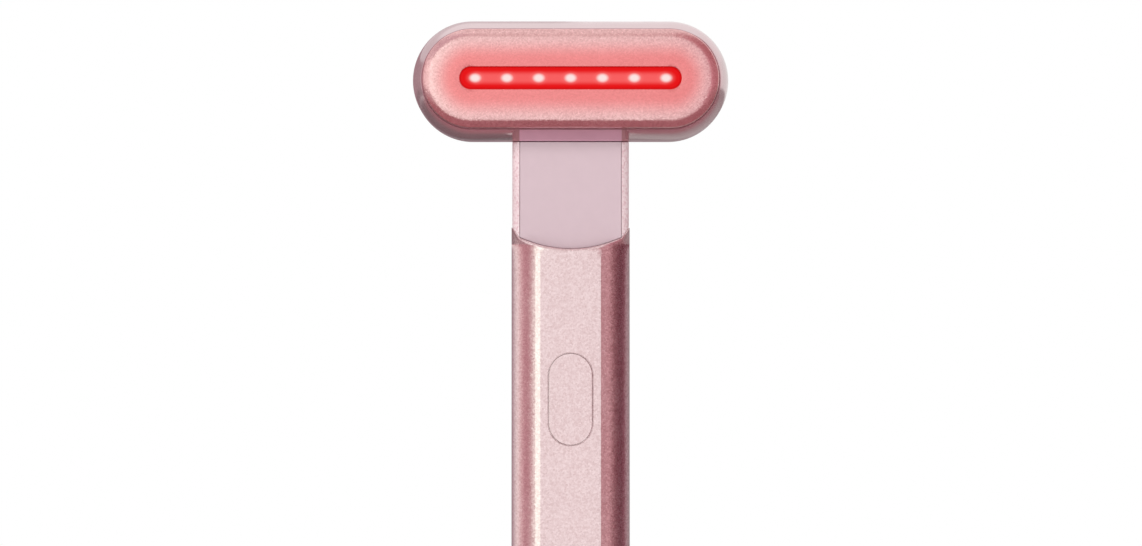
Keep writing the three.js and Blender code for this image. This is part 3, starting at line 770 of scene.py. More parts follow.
def flake_group() -> bpy.types.NodeTree:
    """Builds the flake effect: small cells, each with its own brightness or tilt, some tilted far.

    Returns:
        The node group.
    """
    finer_cells = 1.7
    finer_specks = 1.3
    loose_start = 0.6
    loose_gain = 3.5
    speck_share = 0.7
    cell_share = 0.5
    drop = 0.1
    effect = Effect(
        "Metal flake",
        (("Size", 0.12), ("Tilt", 0.1)),
        (("Shade", FLOAT), ("Normal", VECTOR)),
    )
    desk, given, result = effect.start()
    scale = desk.repeats(given.outputs["Size"])
    broad = desk.cells(scale, "F1").outputs["Color"]
    fine = desk.cells(desk.share(scale, finer_cells), "F1").outputs["Color"]
    centred = desk.vector("SUBTRACT", fine, (0.5, 0.5, 0.5))
    loose = desk.span(desk.channels(fine)[2], loose_start, 1.0, 1.0, loose_gain)
    tilt = desk.vector("SCALE", centred.outputs[0])
    desk.feed(tilt.inputs["Scale"], desk.math("MULTIPLY", given.outputs["Tilt"], loose))
    normal = desk.add("NewGeometry").outputs["Normal"]
    leaned = desk.vector("ADD", normal, tilt.outputs[0])
    turned = desk.vector("NORMALIZE", leaned.outputs[0])
    specks = desk.noise(desk.share(scale, finer_specks), detail=1.0)
    cells = desk.share(desk.channels(broad)[0], cell_share)
    both = desk.math("MULTIPLY_ADD", specks, speck_share, cells)
    desk.feed(result.inputs["Shade"], desk.math("SUBTRACT", both, drop, clamp=True))
    desk.feed(result.inputs["Normal"], turned.outputs[0])
    return desk.tree


def grain_group() -> bpy.types.NodeTree:
    """Builds the fine grain of a moulded or blasted face, and the faint clouds in its colour.

    Returns:
        The node group.
    """
    cloud_share = 0.04
    effect = Effect(
        "Fine grain",
        (("Size", 0.1), ("Detail", 3.0)),
        (("Height", FLOAT), ("Clouds", FLOAT)),
    )
    desk, given, result = effect.start()
    scale = desk.repeats(given.outputs["Size"])
    desk.feed(result.inputs["Height"], desk.noise(scale, given.outputs["Detail"]))
    desk.feed(result.inputs["Clouds"], desk.noise(desk.share(scale, cloud_share)))
    return desk.tree


def wear_group() -> bpy.types.NodeTree:
    """Builds the wear along edges: where the surface turns within a short reach, in patches.

    Returns:
        The node group.
    """
    slight_turn = 0.01
    full_turn = 0.2
    patch_start = 0.35
    effect = Effect(
        "Edge wear",
        (("Reach", 0.15), ("Patch", 1.5)),
        (("Wear", FLOAT),),
    )
    desk, given, result = effect.start()
    rounded = desk.add("Bevel", samples=4)
    desk.feed(rounded.inputs["Radius"], desk.share(given.outputs["Reach"], MILLIMETRE))
    normal = desk.add("NewGeometry").outputs["Normal"]
    dot = desk.vector("DOT_PRODUCT", rounded.outputs["Normal"], normal)
    turn = desk.math("SUBTRACT", 1.0, dot.outputs["Value"])
    edge = desk.span(turn, slight_turn, full_turn)
    patches = desk.noise(desk.repeats(given.outputs["Patch"]), detail=4.0)
    worn = desk.span(patches, patch_start, NOISE_HIGH)
    desk.feed(result.inputs["Wear"], desk.math("MULTIPLY", edge, worn, clamp=True))
    return desk.tree


def handling_group() -> bpy.types.NodeTree:
    """Builds the faint smears that handling leaves on a smooth face.

    Returns:
        The node group.
    """
    effect = Effect(
        "Handling marks",
        (("Size", 6.0),),
        (("Smear", FLOAT),),
    )
    desk, given, result = effect.start()
    smear = desk.noise(desk.repeats(given.outputs["Size"]), detail=4.0, distortion=0.6)
    desk.feed(result.inputs["Smear"], smear)
    return desk.tree


def slot_group() -> bpy.types.NodeTree:
    """Builds the distance from the middle line of the light window, in millimetres.

    Returns:
        The node group.
    """
    effect = Effect(
        "Window distance",
        (("Half span", 12.85), ("Height", 122.35)),
        (("Distance", FLOAT),),
    )
    desk, given, result = effect.start()
    place = desk.parts(desk.place())
    across = desk.math("ABSOLUTE", desk.millimetres(place["X"]))
    beyond = desk.math("MAXIMUM", desk.math("SUBTRACT", across, given.outputs["Half span"]), 0.0)
    above = desk.math("SUBTRACT", desk.millimetres(place["Z"]), given.outputs["Height"])
    desk.feed(result.inputs["Distance"], desk.length(beyond, above))
    return desk.tree


@dataclass(frozen=True)
class Effects:
    """The shared effects, built once."""

    flake: bpy.types.NodeTree
    grain: bpy.types.NodeTree
    wear: bpy.types.NodeTree
    handling: bpy.types.NodeTree
    slot: bpy.types.NodeTree

    @classmethod
    def made(cls) -> "Effects":
        """Builds every group."""
        return cls(flake_group(), grain_group(), wear_group(), handling_group(), slot_group())


# Finishes


@dataclass(frozen=True)
class Finish:
    """A finish: its slot, its colour and the plain numbers of its shader.

    Sizes are in millimetres. A swing says how far the roughness goes down and up.
    """

    slot: Slot
    color: Color
    roughness: float = 0.4
    metallic: float = 0.0
    grain: float = 0.1
    bump: float = 0.1
    relief_depth: float = 0.02
    clouds: float = 0.1
    speckle: float = 0.0
    speckle_range: Flat = (0.42, 0.68)
    speckle_left: Point = (0.5, 0.0, 0.1)
    swing: Flat = (-0.05, 0.05)
    wear_reach: float = 0.12
    wear_share: float = 0.6
    wear_pale: float = 0.25
    smear_size: float = 5.0

    def open(self) -> tuple[Desk, bpy.types.Node, bpy.types.Material]:
        """Starts the material.

        Returns:
            Its desk, its shader and the material.
        """
        desk, shader, material = Desk.material(self.slot.value)
        shader.inputs["Metallic"].default_value = self.metallic
        return desk, shader, material

    def relief(
        self, desk: Desk, shader: bpy.types.Node, height: Value, normal: Optional[Value] = None
    ) -> None:
        """Feeds a fine relief to the shader.

        Args:
            desk: The material's desk.
            shader: Its shader.
            height: The relief's height, 0 to 1.
            normal: Normal that the relief is laid on.
        """
        bump = desk.add("Bump")
        bump.inputs["Strength"].default_value = self.bump
        bump.inputs["Distance"].default_value = self.relief_depth * MILLIMETRE
        desk.feed(bump.inputs["Height"], height)
        if normal is not None:
            desk.feed(bump.inputs["Normal"], normal)
        desk.feed(shader.inputs["Normal"], bump.outputs["Normal"])

    def roughen(self, desk: Desk, shader: bpy.types.Node, noise: Value) -> None:
        """Lets the roughness swing with a noise."""
        low, high = (self.roughness + part for part in self.swing)
        desk.feed(shader.inputs["Roughness"], desk.span(noise, NOISE_LOW, NOISE_HIGH, low, high))

    def handled(self, desk: Desk, shader: bpy.types.Node, effects: Effects) -> None:
        """Lets the roughness swing with the marks of handling."""
        handling = desk.use(effects.handling, Size=self.smear_size)
        self.roughen(desk, shader, handling.outputs["Smear"])

    def rubbed(
        self, desk: Desk, effects: Effects, color: Value, worn: Paint
    ) -> bpy.types.NodeSocket:
        """Wears a colour along the edges.

        Args:
            desk: The material's desk.
            effects: The shared effects.
            color: The colour.
            worn: The colour that it wears to.

        Returns:
            The mixed colour.
        """
        wear = desk.use(effects.wear, Reach=self.wear_reach).outputs["Wear"]
        return desk.mix(desk.share(wear, self.wear_share), color, worn)

    def material(self, effects: Effects) -> bpy.types.Material:
        """Makes a moulded, grained finish with worn edges and handling marks.

        Args:
            effects: The shared effects.

        Returns:
            The material.
        """
        desk, shader, material = self.open()
        grain = desk.use(effects.grain, Size=self.grain)
        base = shade(*self.color)
        dark = scaled(base, (1 - self.clouds,) * 3)
        pale = scaled(base, (1 + self.clouds,) * 3)
        color = desk.mix(grain.outputs["Clouds"], dark, pale)
        if self.speckle:
            spots = desk.span(grain.outputs["Height"], *self.speckle_range)
            specks = desk.share(spots, self.speckle)
            color = desk.mix(specks, color, scaled(base, self.speckle_left))
        color = self.rubbed(desk, effects, color, paled(base, self.wear_pale))
        desk.feed(shader.inputs["Base Color"], self.parted(desk, color))
        self.handled(desk, shader, effects)
        self.relief(desk, shader, grain.outputs["Height"])
        return material

    def parted(self, desk: Desk, color: Value) -> Value:
        """Gives the colour as it is. A finish of two colours parts it here."""
        return color


@dataclass(frozen=True)
class ShadedSideCollarFinish(Finish):
    """A moulded finish whose sides, in line with the neck's rails, carry painted shade from the
    head above.
    """

    # Painted shade: the sides' colour stands in for the head's shadow falling on them
    side: Color = (176, 116, 124)
    half_width: float = 6.6
    blur: float = 0.06

    def parted(self, desk: Desk, color: Value) -> Value:
        """Paints shade on the colour beyond the middle strip.

        Args:
            desk: The material's desk.
            color: The strip's colour.

        Returns:
            The parted colour.
        """
        place = desk.parts(desk.place())
        across = desk.math("ABSOLUTE", desk.millimetres(place["X"]))
        beyond = desk.span(across, self.half_width - self.blur, self.half_width + self.blur)
        return desk.mix(beyond, color, shade(*self.side))


@dataclass(frozen=True)
class FlakeFinish(Finish):
    """Blasted metal that sparkles: flakes of many tilts, with painted glints on faces turned to the
    right.
    """

    swing: Flat = (-0.03, 0.04)
    wear_reach: float = 0.1
    wear_share: float = 0.4
    wear_pale: float = 0.35
    smear_size: float = 7.0
    flake: float = 0.24
    tilt: float = 0.045
    contrast: float = 0.13
    green_swing: float = 1.4
    glow: Optional[Color] = None
    glow_start: float = 2.4
    glow_end: float = 5.4
    glow_calm: float = 0.5
    glint_gain: float = 1.7
    glint_turn: Flat = (0.09, 0.3)

    def material(self, effects: Effects) -> bpy.types.Material:
        """Makes the sparkling metal.

        Args:
            effects: The shared effects.

        Returns:
            The material.
        """
        desk, shader, material = self.open()
        flake = desk.use(effects.flake, Size=self.flake, Tilt=self.tilt)
        grain = desk.use(effects.grain, Size=self.grain)
        # Painted glints: the flakes keep their full contrast only on faces turned away from the
        # light
        painted_glint_share = self.painted_glint_share(desk, flake.outputs["Shade"])
        contrast = self.contrast * self.glint_gain
        color = desk.mix(painted_glint_share, *self.shades(self.color, contrast))
        # Painted light: the window's red glow is painted into the metal's colour near the window
        if self.glow is not None:
            distance = desk.use(effects.slot).outputs["Distance"]
            near = desk.span(distance, self.glow_start, self.glow_end, 1.0, 0.0)
            painted_window_glow = desk.mix(painted_glint_share, *self.shades(self.glow, contrast * self.glow_calm))
            color = desk.mix(near, color, painted_window_glow)
        worn = paled(shade(*self.color), self.wear_pale)
        desk.feed(shader.inputs["Base Color"], self.rubbed(desk, effects, color, worn))
        self.handled(desk, shader, effects)
        self.relief(desk, shader, grain.outputs["Height"], flake.outputs["Normal"])
        return material

    def painted_glint_share(self, desk: Desk, shade_share: Value) -> Value:
        """Paints glints: calms the flakes, except on faces that turn to the right, away from the
        light.

        Args:
            desk: The material's desk.
            shade_share: Each flake's place between dark and pale.

        Returns:
            The same share, drawn in to its middle on the other faces.
        """
        turned = desk.parts(desk.add("TexCoord").outputs["Normal"])
        gain = desk.span(turned["X"], *self.glint_turn, 1 / self.glint_gain, 1.0)
        away = desk.math("SUBTRACT", shade_share, 0.5)
        return desk.math("MULTIPLY_ADD", away, gain, 0.5, clamp=True)

    def shades(self, color: Color, contrast: float) -> tuple[Paint, Paint]:
        """Gives the dark and the pale flakes of a colour, the green and blue swinging further.

        Args:
            color: The colour.
            contrast: How far they lie from it.

        Returns:
            Both colours.
        """
        base = shade(*color)
        further = contrast * self.green_swing
        dark = scaled(base, (1 - contrast, 1 - further, 1 - further))
        pale = scaled(base, (1 + contrast, 1 + further, 1 + further))
        return dark, pale


@dataclass(frozen=True)
class LensFinish(Finish):
    """The red window: clear red plastic over a row of lit diodes.

    Each diode shows as a spot with a halo, in a paler band along the window's middle. The reach of
    a spot and its halo is in spot widths, the rest in millimetres.
    """

    swing: Flat = (-0.02, 0.03)
    middle: Color = (253, 106, 106)
    spot: Color = (255, 238, 236)
    halo: Color = (255, 140, 138)
    rim: Color = (170, 30, 32)
    body: tuple[Color, Color] = ((60, 0, 2), (70, 2, 4))
    pitch: float = 4.1
    last: float = 3.0
    spot_width: float = 0.85
    spot_height: float = 0.62
    spot_reach: Flat = (0.4, 1.15)
    halo_reach: Flat = (0.6, 1.7)
    halo_share: float = 0.4
    band_short: float = 0.3
    band_reach: Flat = (0.25, 1.05)
    band_share: float = 0.85
    rim_width: float = 0.35
    rim_share: float = 0.4
    cloud_share: float = 0.06
    strength: float = 0.92
    specular: float = 0.1
    height: float = 122.35
    half_height: float = 1.45

    def material(self, effects: Effects) -> bpy.types.Material:
        """Makes the lit window.

        Args:
            effects: The shared effects.

        Returns:
            The material.
        """
        desk, shader, material = self.open()
        reach = self.spot_distance(desk)
        spot = desk.span(reach, *self.spot_reach, 1.0, 0.0)
        halo = desk.span(reach, *self.halo_reach, self.halo_share, 0.0)
        inner = desk.use(effects.slot, Half_span=self.last * self.pitch - self.band_short)
        band = desk.span(inner.outputs["Distance"], *self.band_reach, 1.0, 0.0)
        outer = desk.use(effects.slot)
        rim_start = self.half_height - self.rim_width
        rim = desk.span(outer.outputs["Distance"], rim_start, self.half_height)
        grain = desk.use(effects.grain, Size=self.grain)
        clouds = grain.outputs["Clouds"]
        deep = shade(*self.color)
        color = desk.mix(desk.share(band, self.band_share), deep, shade(*self.middle))
        color = desk.mix(halo, color, shade(*self.halo))
        color = desk.mix(spot, color, shade(*self.spot))
        color = desk.mix(desk.share(rim, self.rim_share), color, shade(*self.rim))
        color = desk.mix(desk.share(clouds, self.cloud_share), color, deep)
        desk.feed(shader.inputs["Emission Color"], color)
        shader.inputs["Emission Strength"].default_value = self.strength
        shader.inputs["Specular IOR Level"].default_value = self.specular
        tones = [shade(*tone) for tone in self.body]
        desk.feed(shader.inputs["Base Color"], desk.mix(clouds, *tones))
        self.roughen(desk, shader, clouds)
        self.relief(desk, shader, grain.outputs["Height"])
        return material

    def spot_distance(self, desk: Desk) -> bpy.types.NodeSocket:
        """Gives the distance from the nearest diode's middle, in spot widths.

        Args:
            desk: The material's desk.

        Returns:
            The distance.
        """
        place = desk.parts(desk.place())
        across = desk.math("DIVIDE", place["X"], self.pitch * MILLIMETRE)
        above = desk.math("SUBTRACT", desk.millimetres(place["Z"]), self.height)
        nearest = desk.math("MINIMUM", desk.math("ROUND", across), self.last)
        nearest = desk.math("MAXIMUM", nearest, -self.last)
        aside = desk.share(desk.math("SUBTRACT", across, nearest), self.pitch)
        return desk.length(
            desk.math("DIVIDE", aside, self.spot_width),
            desk.math("DIVIDE", above, self.spot_height),
        )


@dataclass(frozen=True)
class DomeFinish(Finish):
    """A lit diode under its clear dome."""

    shaded: Color = (255, 190, 186)
    strength: float = 0.8

    def material(self, effects: Effects) -> bpy.types.Material:
        """Makes the lit dome.

        Args:
            effects: The shared effects.

        Returns:
            The material.
        """
        desk, shader, material = self.open()
        grain = desk.use(effects.grain, Size=self.grain)
        color = desk.mix(grain.outputs["Clouds"], shade(*self.shaded), shade(*self.color))
        desk.feed(shader.inputs["Base Color"], color)
        desk.feed(shader.inputs["Emission Color"], color)
        shader.inputs["Emission Strength"].default_value = self.strength
        self.roughen(desk, shader, grain.outputs["Height"])
        self.relief(desk, shader, grain.outputs["Height"])
        return material


@dataclass(frozen=True)
class SteelFinish(Finish):
    """Turned or drawn steel, with fine level lines."""

    swing: Flat = (-0.06, 0.08)
    wear_reach: float = 0.1
    wear_share: float = 0.5
    smear_size: float = 3.0
    worn: Color = (232, 232, 233)
    line_shade: float = 0.82
    lines: Point = (1.0, 1.0, 12.0)

    def material(self, effects: Effects) -> bpy.types.Material:
        """Makes the drawn metal.

        Args:
            effects: The shared effects.

        Returns:
            The material.
        """
        desk, shader, material = self.open()
        stretched = desk.vector("MULTIPLY", desk.place(), self.lines).outputs[0]
        drawn = desk.noise(1 / (self.grain * MILLIMETRE), detail=3.0, place=stretched)
        base = shade(*self.color)
        color = desk.mix(drawn, scaled(base, (self.line_shade,) * 3), base)
        desk.feed(shader.inputs["Base Color"], self.rubbed(desk, effects, color, shade(*self.worn)))
        self.handled(desk, shader, effects)
        self.relief(desk, shader, drawn)
        return material


@dataclass(frozen=True)
class BoardFinish(Finish):
    """A circuit board: solder mask with faint copper tracks under it."""

    track: float = 1.1
    track_edge: Flat = (0.08, 0.14)
    track_gain: float = 1.7
    track_gloss: float = 0.12
    stain: Color = (20, 50, 34)
    stain_share: float = 0.2

    def material(self, effects: Effects) -> bpy.types.Material:
        """Makes the board.

        Args:
            effects: The shared effects.

        Returns:
            The material.
        """
        desk, shader, material = self.open()
        cells = desk.cells(1 / (self.track * MILLIMETRE), "DISTANCE_TO_EDGE")
        tracks = desk.span(cells.outputs["Distance"], *self.track_edge, 1.0, 0.0)
        clouds = desk.use(effects.grain, Size=self.grain).outputs["Clouds"]
        base = shade(*self.color)
        color = desk.mix(tracks, base, scaled(base, (self.track_gain,) * 3))
        color = desk.mix(desk.share(clouds, self.stain_share), color, shade(*self.stain))
        desk.feed(shader.inputs["Base Color"], color)
        rough = desk.span(tracks, 0.0, 1.0, self.roughness, self.roughness - self.track_gloss)
        desk.feed(shader.inputs["Roughness"], rough)
        self.relief(desk, shader, tracks)
        return material


FINISHES: tuple[Finish, ...] = (
    FlakeFinish(
        Slot.ROSE_METAL, (231, 206, 207), roughness=0.2, metallic=0.95, bump=0.08,
        tilt=0.032, contrast=0.145,
    ),
    FlakeFinish(
        Slot.PLATE_METAL, (236, 190, 189), roughness=0.2, metallic=0.92, bump=0.08,
        flake=0.2, contrast=0.15, glow=(238, 141, 141), glow_calm=0.55, glint_gain=1.0,
    ),
    Finish(Slot.ROSE_PLASTIC, (206, 168, 171), roughness=0.42, grain=0.08, bump=0.2),
    Finish(
        Slot.SMOKY_ROSE, (225, 205, 207), roughness=0.21, metallic=0.9, grain=0.2, bump=0.03,
        clouds=0.04,
    ),
    Finish(Slot.FROSTED_ROSE, (240, 216, 219), roughness=0.55, grain=0.3, bump=0.3, speckle=0.3),
    Finish(Slot.PANEL_ROSE, (211, 187, 194), roughness=0.4, grain=0.06, bump=0.05, clouds=0.025),
    ShadedSideCollarFinish(Slot.COLLAR_ROSE, (214, 156, 177), roughness=0.45, grain=0.08, bump=0.1),
    LensFinish(Slot.RED_LENS, (232, 4, 8), roughness=0.18, grain=0.3, bump=0.02),
    DomeFinish(Slot.LED_DOME, (255, 232, 229), roughness=0.3, grain=0.2, bump=0.05),
    SteelFinish(
        Slot.BRIGHT_STEEL, (190, 191, 193), roughness=0.3, metallic=1.0, grain=0.5, bump=0.1
    ),
    Finish(Slot.DARK_RUBBER, (158, 98, 108), roughness=0.75, grain=0.06, bump=0.3),
    BoardFinish(Slot.CIRCUIT_BOARD, (46, 104, 72), roughness=0.5, grain=0.2, bump=0.2),
    Finish(Slot.BLACK_PLASTIC, (34, 34, 36), roughness=0.5, grain=0.08, bump=0.2),
    Finish(Slot.PALE_PLASTIC, (221, 219, 212), roughness=0.5, grain=0.1, bump=0.15),
    SteelFinish(Slot.CELL_FOIL, (196, 199, 202), roughness=0.35, metallic=0.8, grain=2.0, bump=0.2),
    Finish(Slot.FILM_AMBER, (184, 118, 48), roughness=0.3, grain=0.4, bump=0.1),
)


@dataclass
class Wardrobe:
    """Every finish's material, by slot."""

    effects: Effects
    materials: dict[Slot, bpy.types.Material] = field(default_factory=dict)

    def fill(self) -> None:
        """Makes each finish once."""
        for finish in FINISHES:
            self.materials[finish.slot] = finish.material(self.effects)

    def wear(self, piece: bpy.types.Object, slot: Slot, body: Body, *nodes: str) -> None:
        """Dresses a new piece and sets it on its body.

        Args:
            piece: The piece.
            slot: Its finish.
            body: The body that it rides on.
            *nodes: The frame's nodes that it stands for.
        """
        piece.data.materials.clear()
        piece.data.materials.append(self.materials[slot])
        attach(piece, body.value)
        if nodes:
            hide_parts(*nodes)
        faces = len(piece.data.polygons)
        LOG.info("%s: %d faces on %s, %s", piece.name, faces, body.value, slot.value)

    def dress_nodes(self) -> None:
        """Gives every node of the frame its slot's finish."""
        for entry in frame["record"]["subparts"]:
            node = frame["nodes"][entry["node"]]
            material = self.materials[Slot(entry["material_slot"])]
            if not node.material_slots:
                node.data.materials.append(material)
            for place in node.material_slots:
                place.link = "OBJECT"
                place.material = material
            LOG.info("%s: kept from the frame, %s", node.name, entry["material_slot"])


# Sub-assemblies


@dataclass
class HandleSection:
    """The handle's section, seen from above, and the scooped seat that the neck stands in.

    Sizes are in millimetres here and in every sub-assembly. Fields that end in parts, steps or rows
    say how finely a stretch is cut.
    """

    half_width: float = 7.65
    half_depth: float = 5.8
    wall: float = 1.05
    flat: float = 3.9
    facet: float = 0.65
    facet_drop: float = 0.15
    shoulder: float = 2.75
    sweep: float = math.pi / 3
    cavity_corner: float = 2.0
    scoop_low: float = 100.4
    scoop_radius: float = 15.3
    cheek_rise: float = 3.1
    flat_parts: int = 8
    facet_parts: int = 2
    shoulder_parts: int = 10
    cheek_parts: int = 12
    side_parts: int = 3
    corner_steps: int = 10

    @property
    def cavity_x(self) -> float:
        """Half the cavity's width."""
        return self.half_width - self.wall

    @property
    def cavity_y(self) -> float:
        """Half the cavity's depth."""
        return self.half_depth - self.wall

    def seat(self, x: float) -> float:
        """Height of the scooped seat.

        Args:
            x: Distance from the middle, either side.

        Returns:
            The height.
        """
        reach = abs(x)
        inside = min(reach, self.cavity_x)
        rise = self.scoop_radius - math.sqrt(self.scoop_radius ** 2 - inside ** 2)
        if reach > self.cavity_x:
            rise += (self.cheek_rise - rise) * (reach - self.cavity_x) / self.wall
        return self.scoop_low + rise

    def quarters(self) -> tuple[list[Flat], list[Flat]]:
        """Walks a quarter of the section, from the back middle to the right side.

        Returns:
            Points on the outside, and the matching points on the cavity.
        """
        reach = self.half_width - self.flat - self.facet
        radius_x = reach / (1 - math.cos(self.sweep))
        radius_y = self.shoulder / math.sin(self.sweep)
        centre_x = self.half_width - radius_x
        centre_y = self.half_depth - self.facet_drop - self.shoulder
        kink = math.acos((self.cavity_x - centre_x) / radius_x)
        edge = self.flat + self.facet
        corner = self.cavity_corner
        inner_x = self.cavity_x - corner
        inner_y = self.cavity_y - corner
        split = QUARTER * (1 - kink / self.sweep)
        centre, radii = (centre_x, centre_y), (radius_x, radius_y)
        inner_centre, inner_radii = (inner_x, inner_y), (corner, corner)
        bend = (self.flat, self.half_depth)
        outer = [
            line((0, self.half_depth), bend, self.flat_parts),
            line(bend, (edge, self.half_depth - self.facet_drop), self.facet_parts),
            arc(centre, radii, self.sweep, kink, self.shoulder_parts),
            arc(centre, radii, kink, 0, self.cheek_parts),
            line((self.half_width, centre_y), (self.half_width, 0), self.side_parts),
        ]
        inner = [
            line((0, self.cavity_y), (self.flat, self.cavity_y), self.flat_parts),
            line((self.flat, self.cavity_y), (inner_x, self.cavity_y), self.facet_parts),
            arc(inner_centre, inner_radii, QUARTER, QUARTER - split, self.shoulder_parts),
            arc(inner_centre, inner_radii, QUARTER - split, 0, self.cheek_parts),
            line((self.cavity_x, inner_y), (self.cavity_x, 0), self.side_parts),
        ]
        return chain(*outer), chain(*inner)

    def rings(self) -> tuple[list[Flat], list[Flat], list[int]]:
        """Mirrors the quarter to whole rings that start at the front middle.

        Returns:
            The outside, the matching cavity, and the places of the creases.
        """
        rings = []
        for quarter in self.quarters():
            half = [(x, -y) for x, y in quarter] + quarter[-2::-1]
            rings.append(half + [(-x, y) for x, y in half[-2:0:-1]])
        outside, cavity = rings
        count = len(outside)
        middle = count // 2
        creases = []
        for turn in (self.flat_parts, self.flat_parts + self.facet_parts):
            creases += [turn, middle - turn, middle + turn, count - turn]
        return outside, cavity, creases

    def cavity(self, inset: float) -> list[Flat]:
        """Outline of the cavity, drawn in by an inset."""
        half_x, half_y = self.cavity_x - inset, self.cavity_y - inset
        return rounded_rectangle(half_x, half_y, self.cavity_corner - inset, self.corner_steps)


@dataclass
class Handle:
    """The metal sleeve, its end cap, the charging socket and the screws under it.

    The foot gives each row's share of the wall and its rise. The socket's lips give how far each
    row lies in from the wall's face and above the mouth, and the screw's profile its radius and
    rise.
    """

    wardrobe: Wardrobe
    section: HandleSection = field(default_factory=HandleSection)
    bottom: float = 1.8
    edge: float = 0.1
    shaft_parts: int = 12
    top_pitch: float = 2.5
    top_rows: int = 4
    button_height: float = 81.0
    slot_radius: float = 2.945
    slot_span: float = 3.085
    slot_edge: float = 0.02
    patch_half_height: float = 8.0
    patch_rows: int = 32
    mouth_drops: Flat = (1.2, 0.8)
    mouth_round: float = 0.4
    mouth_steps: int = 8
    mouth_shares: Point = (0.55, 0.7, 0.82)
    lip_round: float = 0.08
    lip_steps: int = 4
    foot: tuple[Flat, ...] = ((0.03, 0.03), (0.1, 0.0), (0.97, 0.0))
    cap_edge: float = 0.3
    port_gap: float = 0.12
    port_steps: int = 16
    port_parts: int = 8
    pocket_steps: int = 40
    socket_half: Flat = (4.47, 1.63)
    socket_wall: float = 0.3
    socket_low: float = 0.3
    socket_high: float = 7.6
    socket_steps: int = 24
    socket_parts: int = 12
    socket_lip: tuple[Flat, ...] = ((0.08, 0.0), (0.02, 0.02), (0.0, 0.08))
    socket_inner_lip: tuple[Flat, ...] = ((0.0, 0.1), (0.02, 0.03), (0.08, 0.0))
    screw_place: Flat = (4.2, 3.5)
    screw_radius: float = 1.0
    screw_gap: float = 0.05
    screw_steps: int = 48
    screw_key: float = 0.39
    screw_key_rises: Flat = (0.4, 0.03)
    screw_profile: tuple[Flat, ...] = (
        (0.52, 0.0), (0.88, 0.0), (0.97, 0.04), (1.0, 0.13), (1.0, 0.7), (0.6, 0.7), (0.6, 6.5),
    )
    plug_top: float = 5.8
    plug_wall: float = 1.2
    plug_gap: float = 0.1
    plug_overlap: float = 0.25
    contact_count: int = 12
    contact_pitch: float = 0.5
    contact_half: float = 0.11
    contact_heights: Flat = (1.35, 4.2)
    contact_depths: Flat = (-0.02, 0.03)
    tongue_half: float = 0.35

    def make(self) -> None:
        """Builds and dresses every piece."""
        wear = self.wardrobe.wear
        wear(self.sleeve(), Slot.ROSE_METAL, Body.HANDLE, "handle_sleeve")
        wear(self.end_cap(), Slot.ROSE_PLASTIC, Body.HANDLE, "end_cap")
        wear(self.cap_plug(), Slot.ROSE_PLASTIC, Body.HANDLE)
        wear(self.socket_shell(), Slot.BRIGHT_STEEL, Body.HANDLE, "charging_socket")
        wear(self.contacts(), Slot.BRIGHT_STEEL, Body.HANDLE)
        for side, name in ((-1, "left"), (1, "right")):
            wear(self.screw(side, name), Slot.BRIGHT_STEEL, Body.HANDLE, "cap_screw_" + name)

    def sleeve(self) -> bpy.types.Object:
        """Builds the sleeve: band, facets and shoulders, the scooped mouth and the button's slot.

        Returns:
            The new object.
        """
        draft = Draft("sleeve_shell")
        outside, cavity, creases = self.section.rings()
        low = self.button_height - self.patch_half_height
        high = self.button_height + self.patch_half_height
        heights = [self.bottom + self.edge]
        heights += [
            self.bottom + (low - self.bottom) * i / self.shaft_parts
            for i in range(1, self.shaft_parts)
        ]
        first = len(heights)
        heights += [low + (high - low) * i / self.patch_rows for i in range(self.patch_rows + 1)]
        last = len(heights) - 1
        heights += [high + self.top_pitch * (i + 1) for i in range(self.top_rows)]
        outer_rows = [draft.loop(level(outside, height)) for height in heights]
        inner_rows = [draft.loop(level(cavity, height)) for height in heights]
        band = self.section.flat_parts
        hole = {offset % len(outside) for offset in range(-band, band)}
        for rows in (outer_rows, inner_rows):
            for j, (lower, upper) in enumerate(zip(rows, rows[1:])):
                draft.bridge(lower, upper, hole if first <= j < last else ())
        outer_ring = self.patch_ring(outer_rows[first:last + 1], band)
        inner_ring = self.patch_ring(inner_rows[first:last + 1], band)
        front = -self.section.half_depth
        back = -self.section.cavity_y
        loops = []
        edge = self.slot_edge
        for grow, depth in ((edge, front), (0.0, front + edge), (0.0, back)):
            points = [self.slot_point(draft.corners[corner], grow, depth) for corner in outer_ring]
            loops.append(draft.loop(points))
        draft.join([outer_ring, *loops, inner_ring])
        draft.crease(loops[-1] + loops[-1][:1])
        mouth = []
        for share, drop in self.rim():
            points = between(outside, cavity, share)
            mouth.append(draft.loop([(x, y, self.section.seat(x) - drop) for x, y in points]))
        draft.join([outer_rows[-1], *mouth, inner_rows[-1]])
        foot = []
        for share, rise in self.foot:
            foot.append(draft.loop(level(between(outside, cavity, share), self.bottom + rise)))
        draft.join([outer_rows[0], *foot, inner_rows[0]])
        for place in creases:
            draft.crease([foot[0][place]] + [row[place] for row in outer_rows] + [mouth[0][place]])
        return draft.build(smooth=30)

    def patch_ring(self, rows: list[list[int]], band: int) -> list[int]:
        """Walks round the patch that the slot is cut in.

        Args:
            rows: The rows of corners from the patch's low side to its high side.
            band: Columns from the middle to the patch's sides.

        Returns:
            The corners on its border.
        """
        count = len(rows[0])
        columns = [offset % count for offset in range(-band, band + 1)]
        ring = [rows[0][column] for column in columns]
        ring += [row[columns[-1]] for row in rows[1:]]
        ring += [rows[-1][column] for column in reversed(columns[:-1])]
        ring += [row[columns[0]] for row in reversed(rows[1:-1])]
        return ring

    def slot_point(self, corner: Point, grow: float, depth: float) -> Point:
        """Draws a corner of the patch in to the slot's edge.

        Args:
            corner: The corner.
            grow: How far outside the slot the point lies.
            depth: Its depth.

        Returns:
            The point.
        """
        x, _, z = corner
        above = z - self.button_height
        centre = max(-self.slot_span, min(self.slot_span, above))
        away = math.hypot(x, above - centre)
        share = (self.slot_radius + grow) / away
        return (x * share, depth, self.button_height + centre + (above - centre) * share)

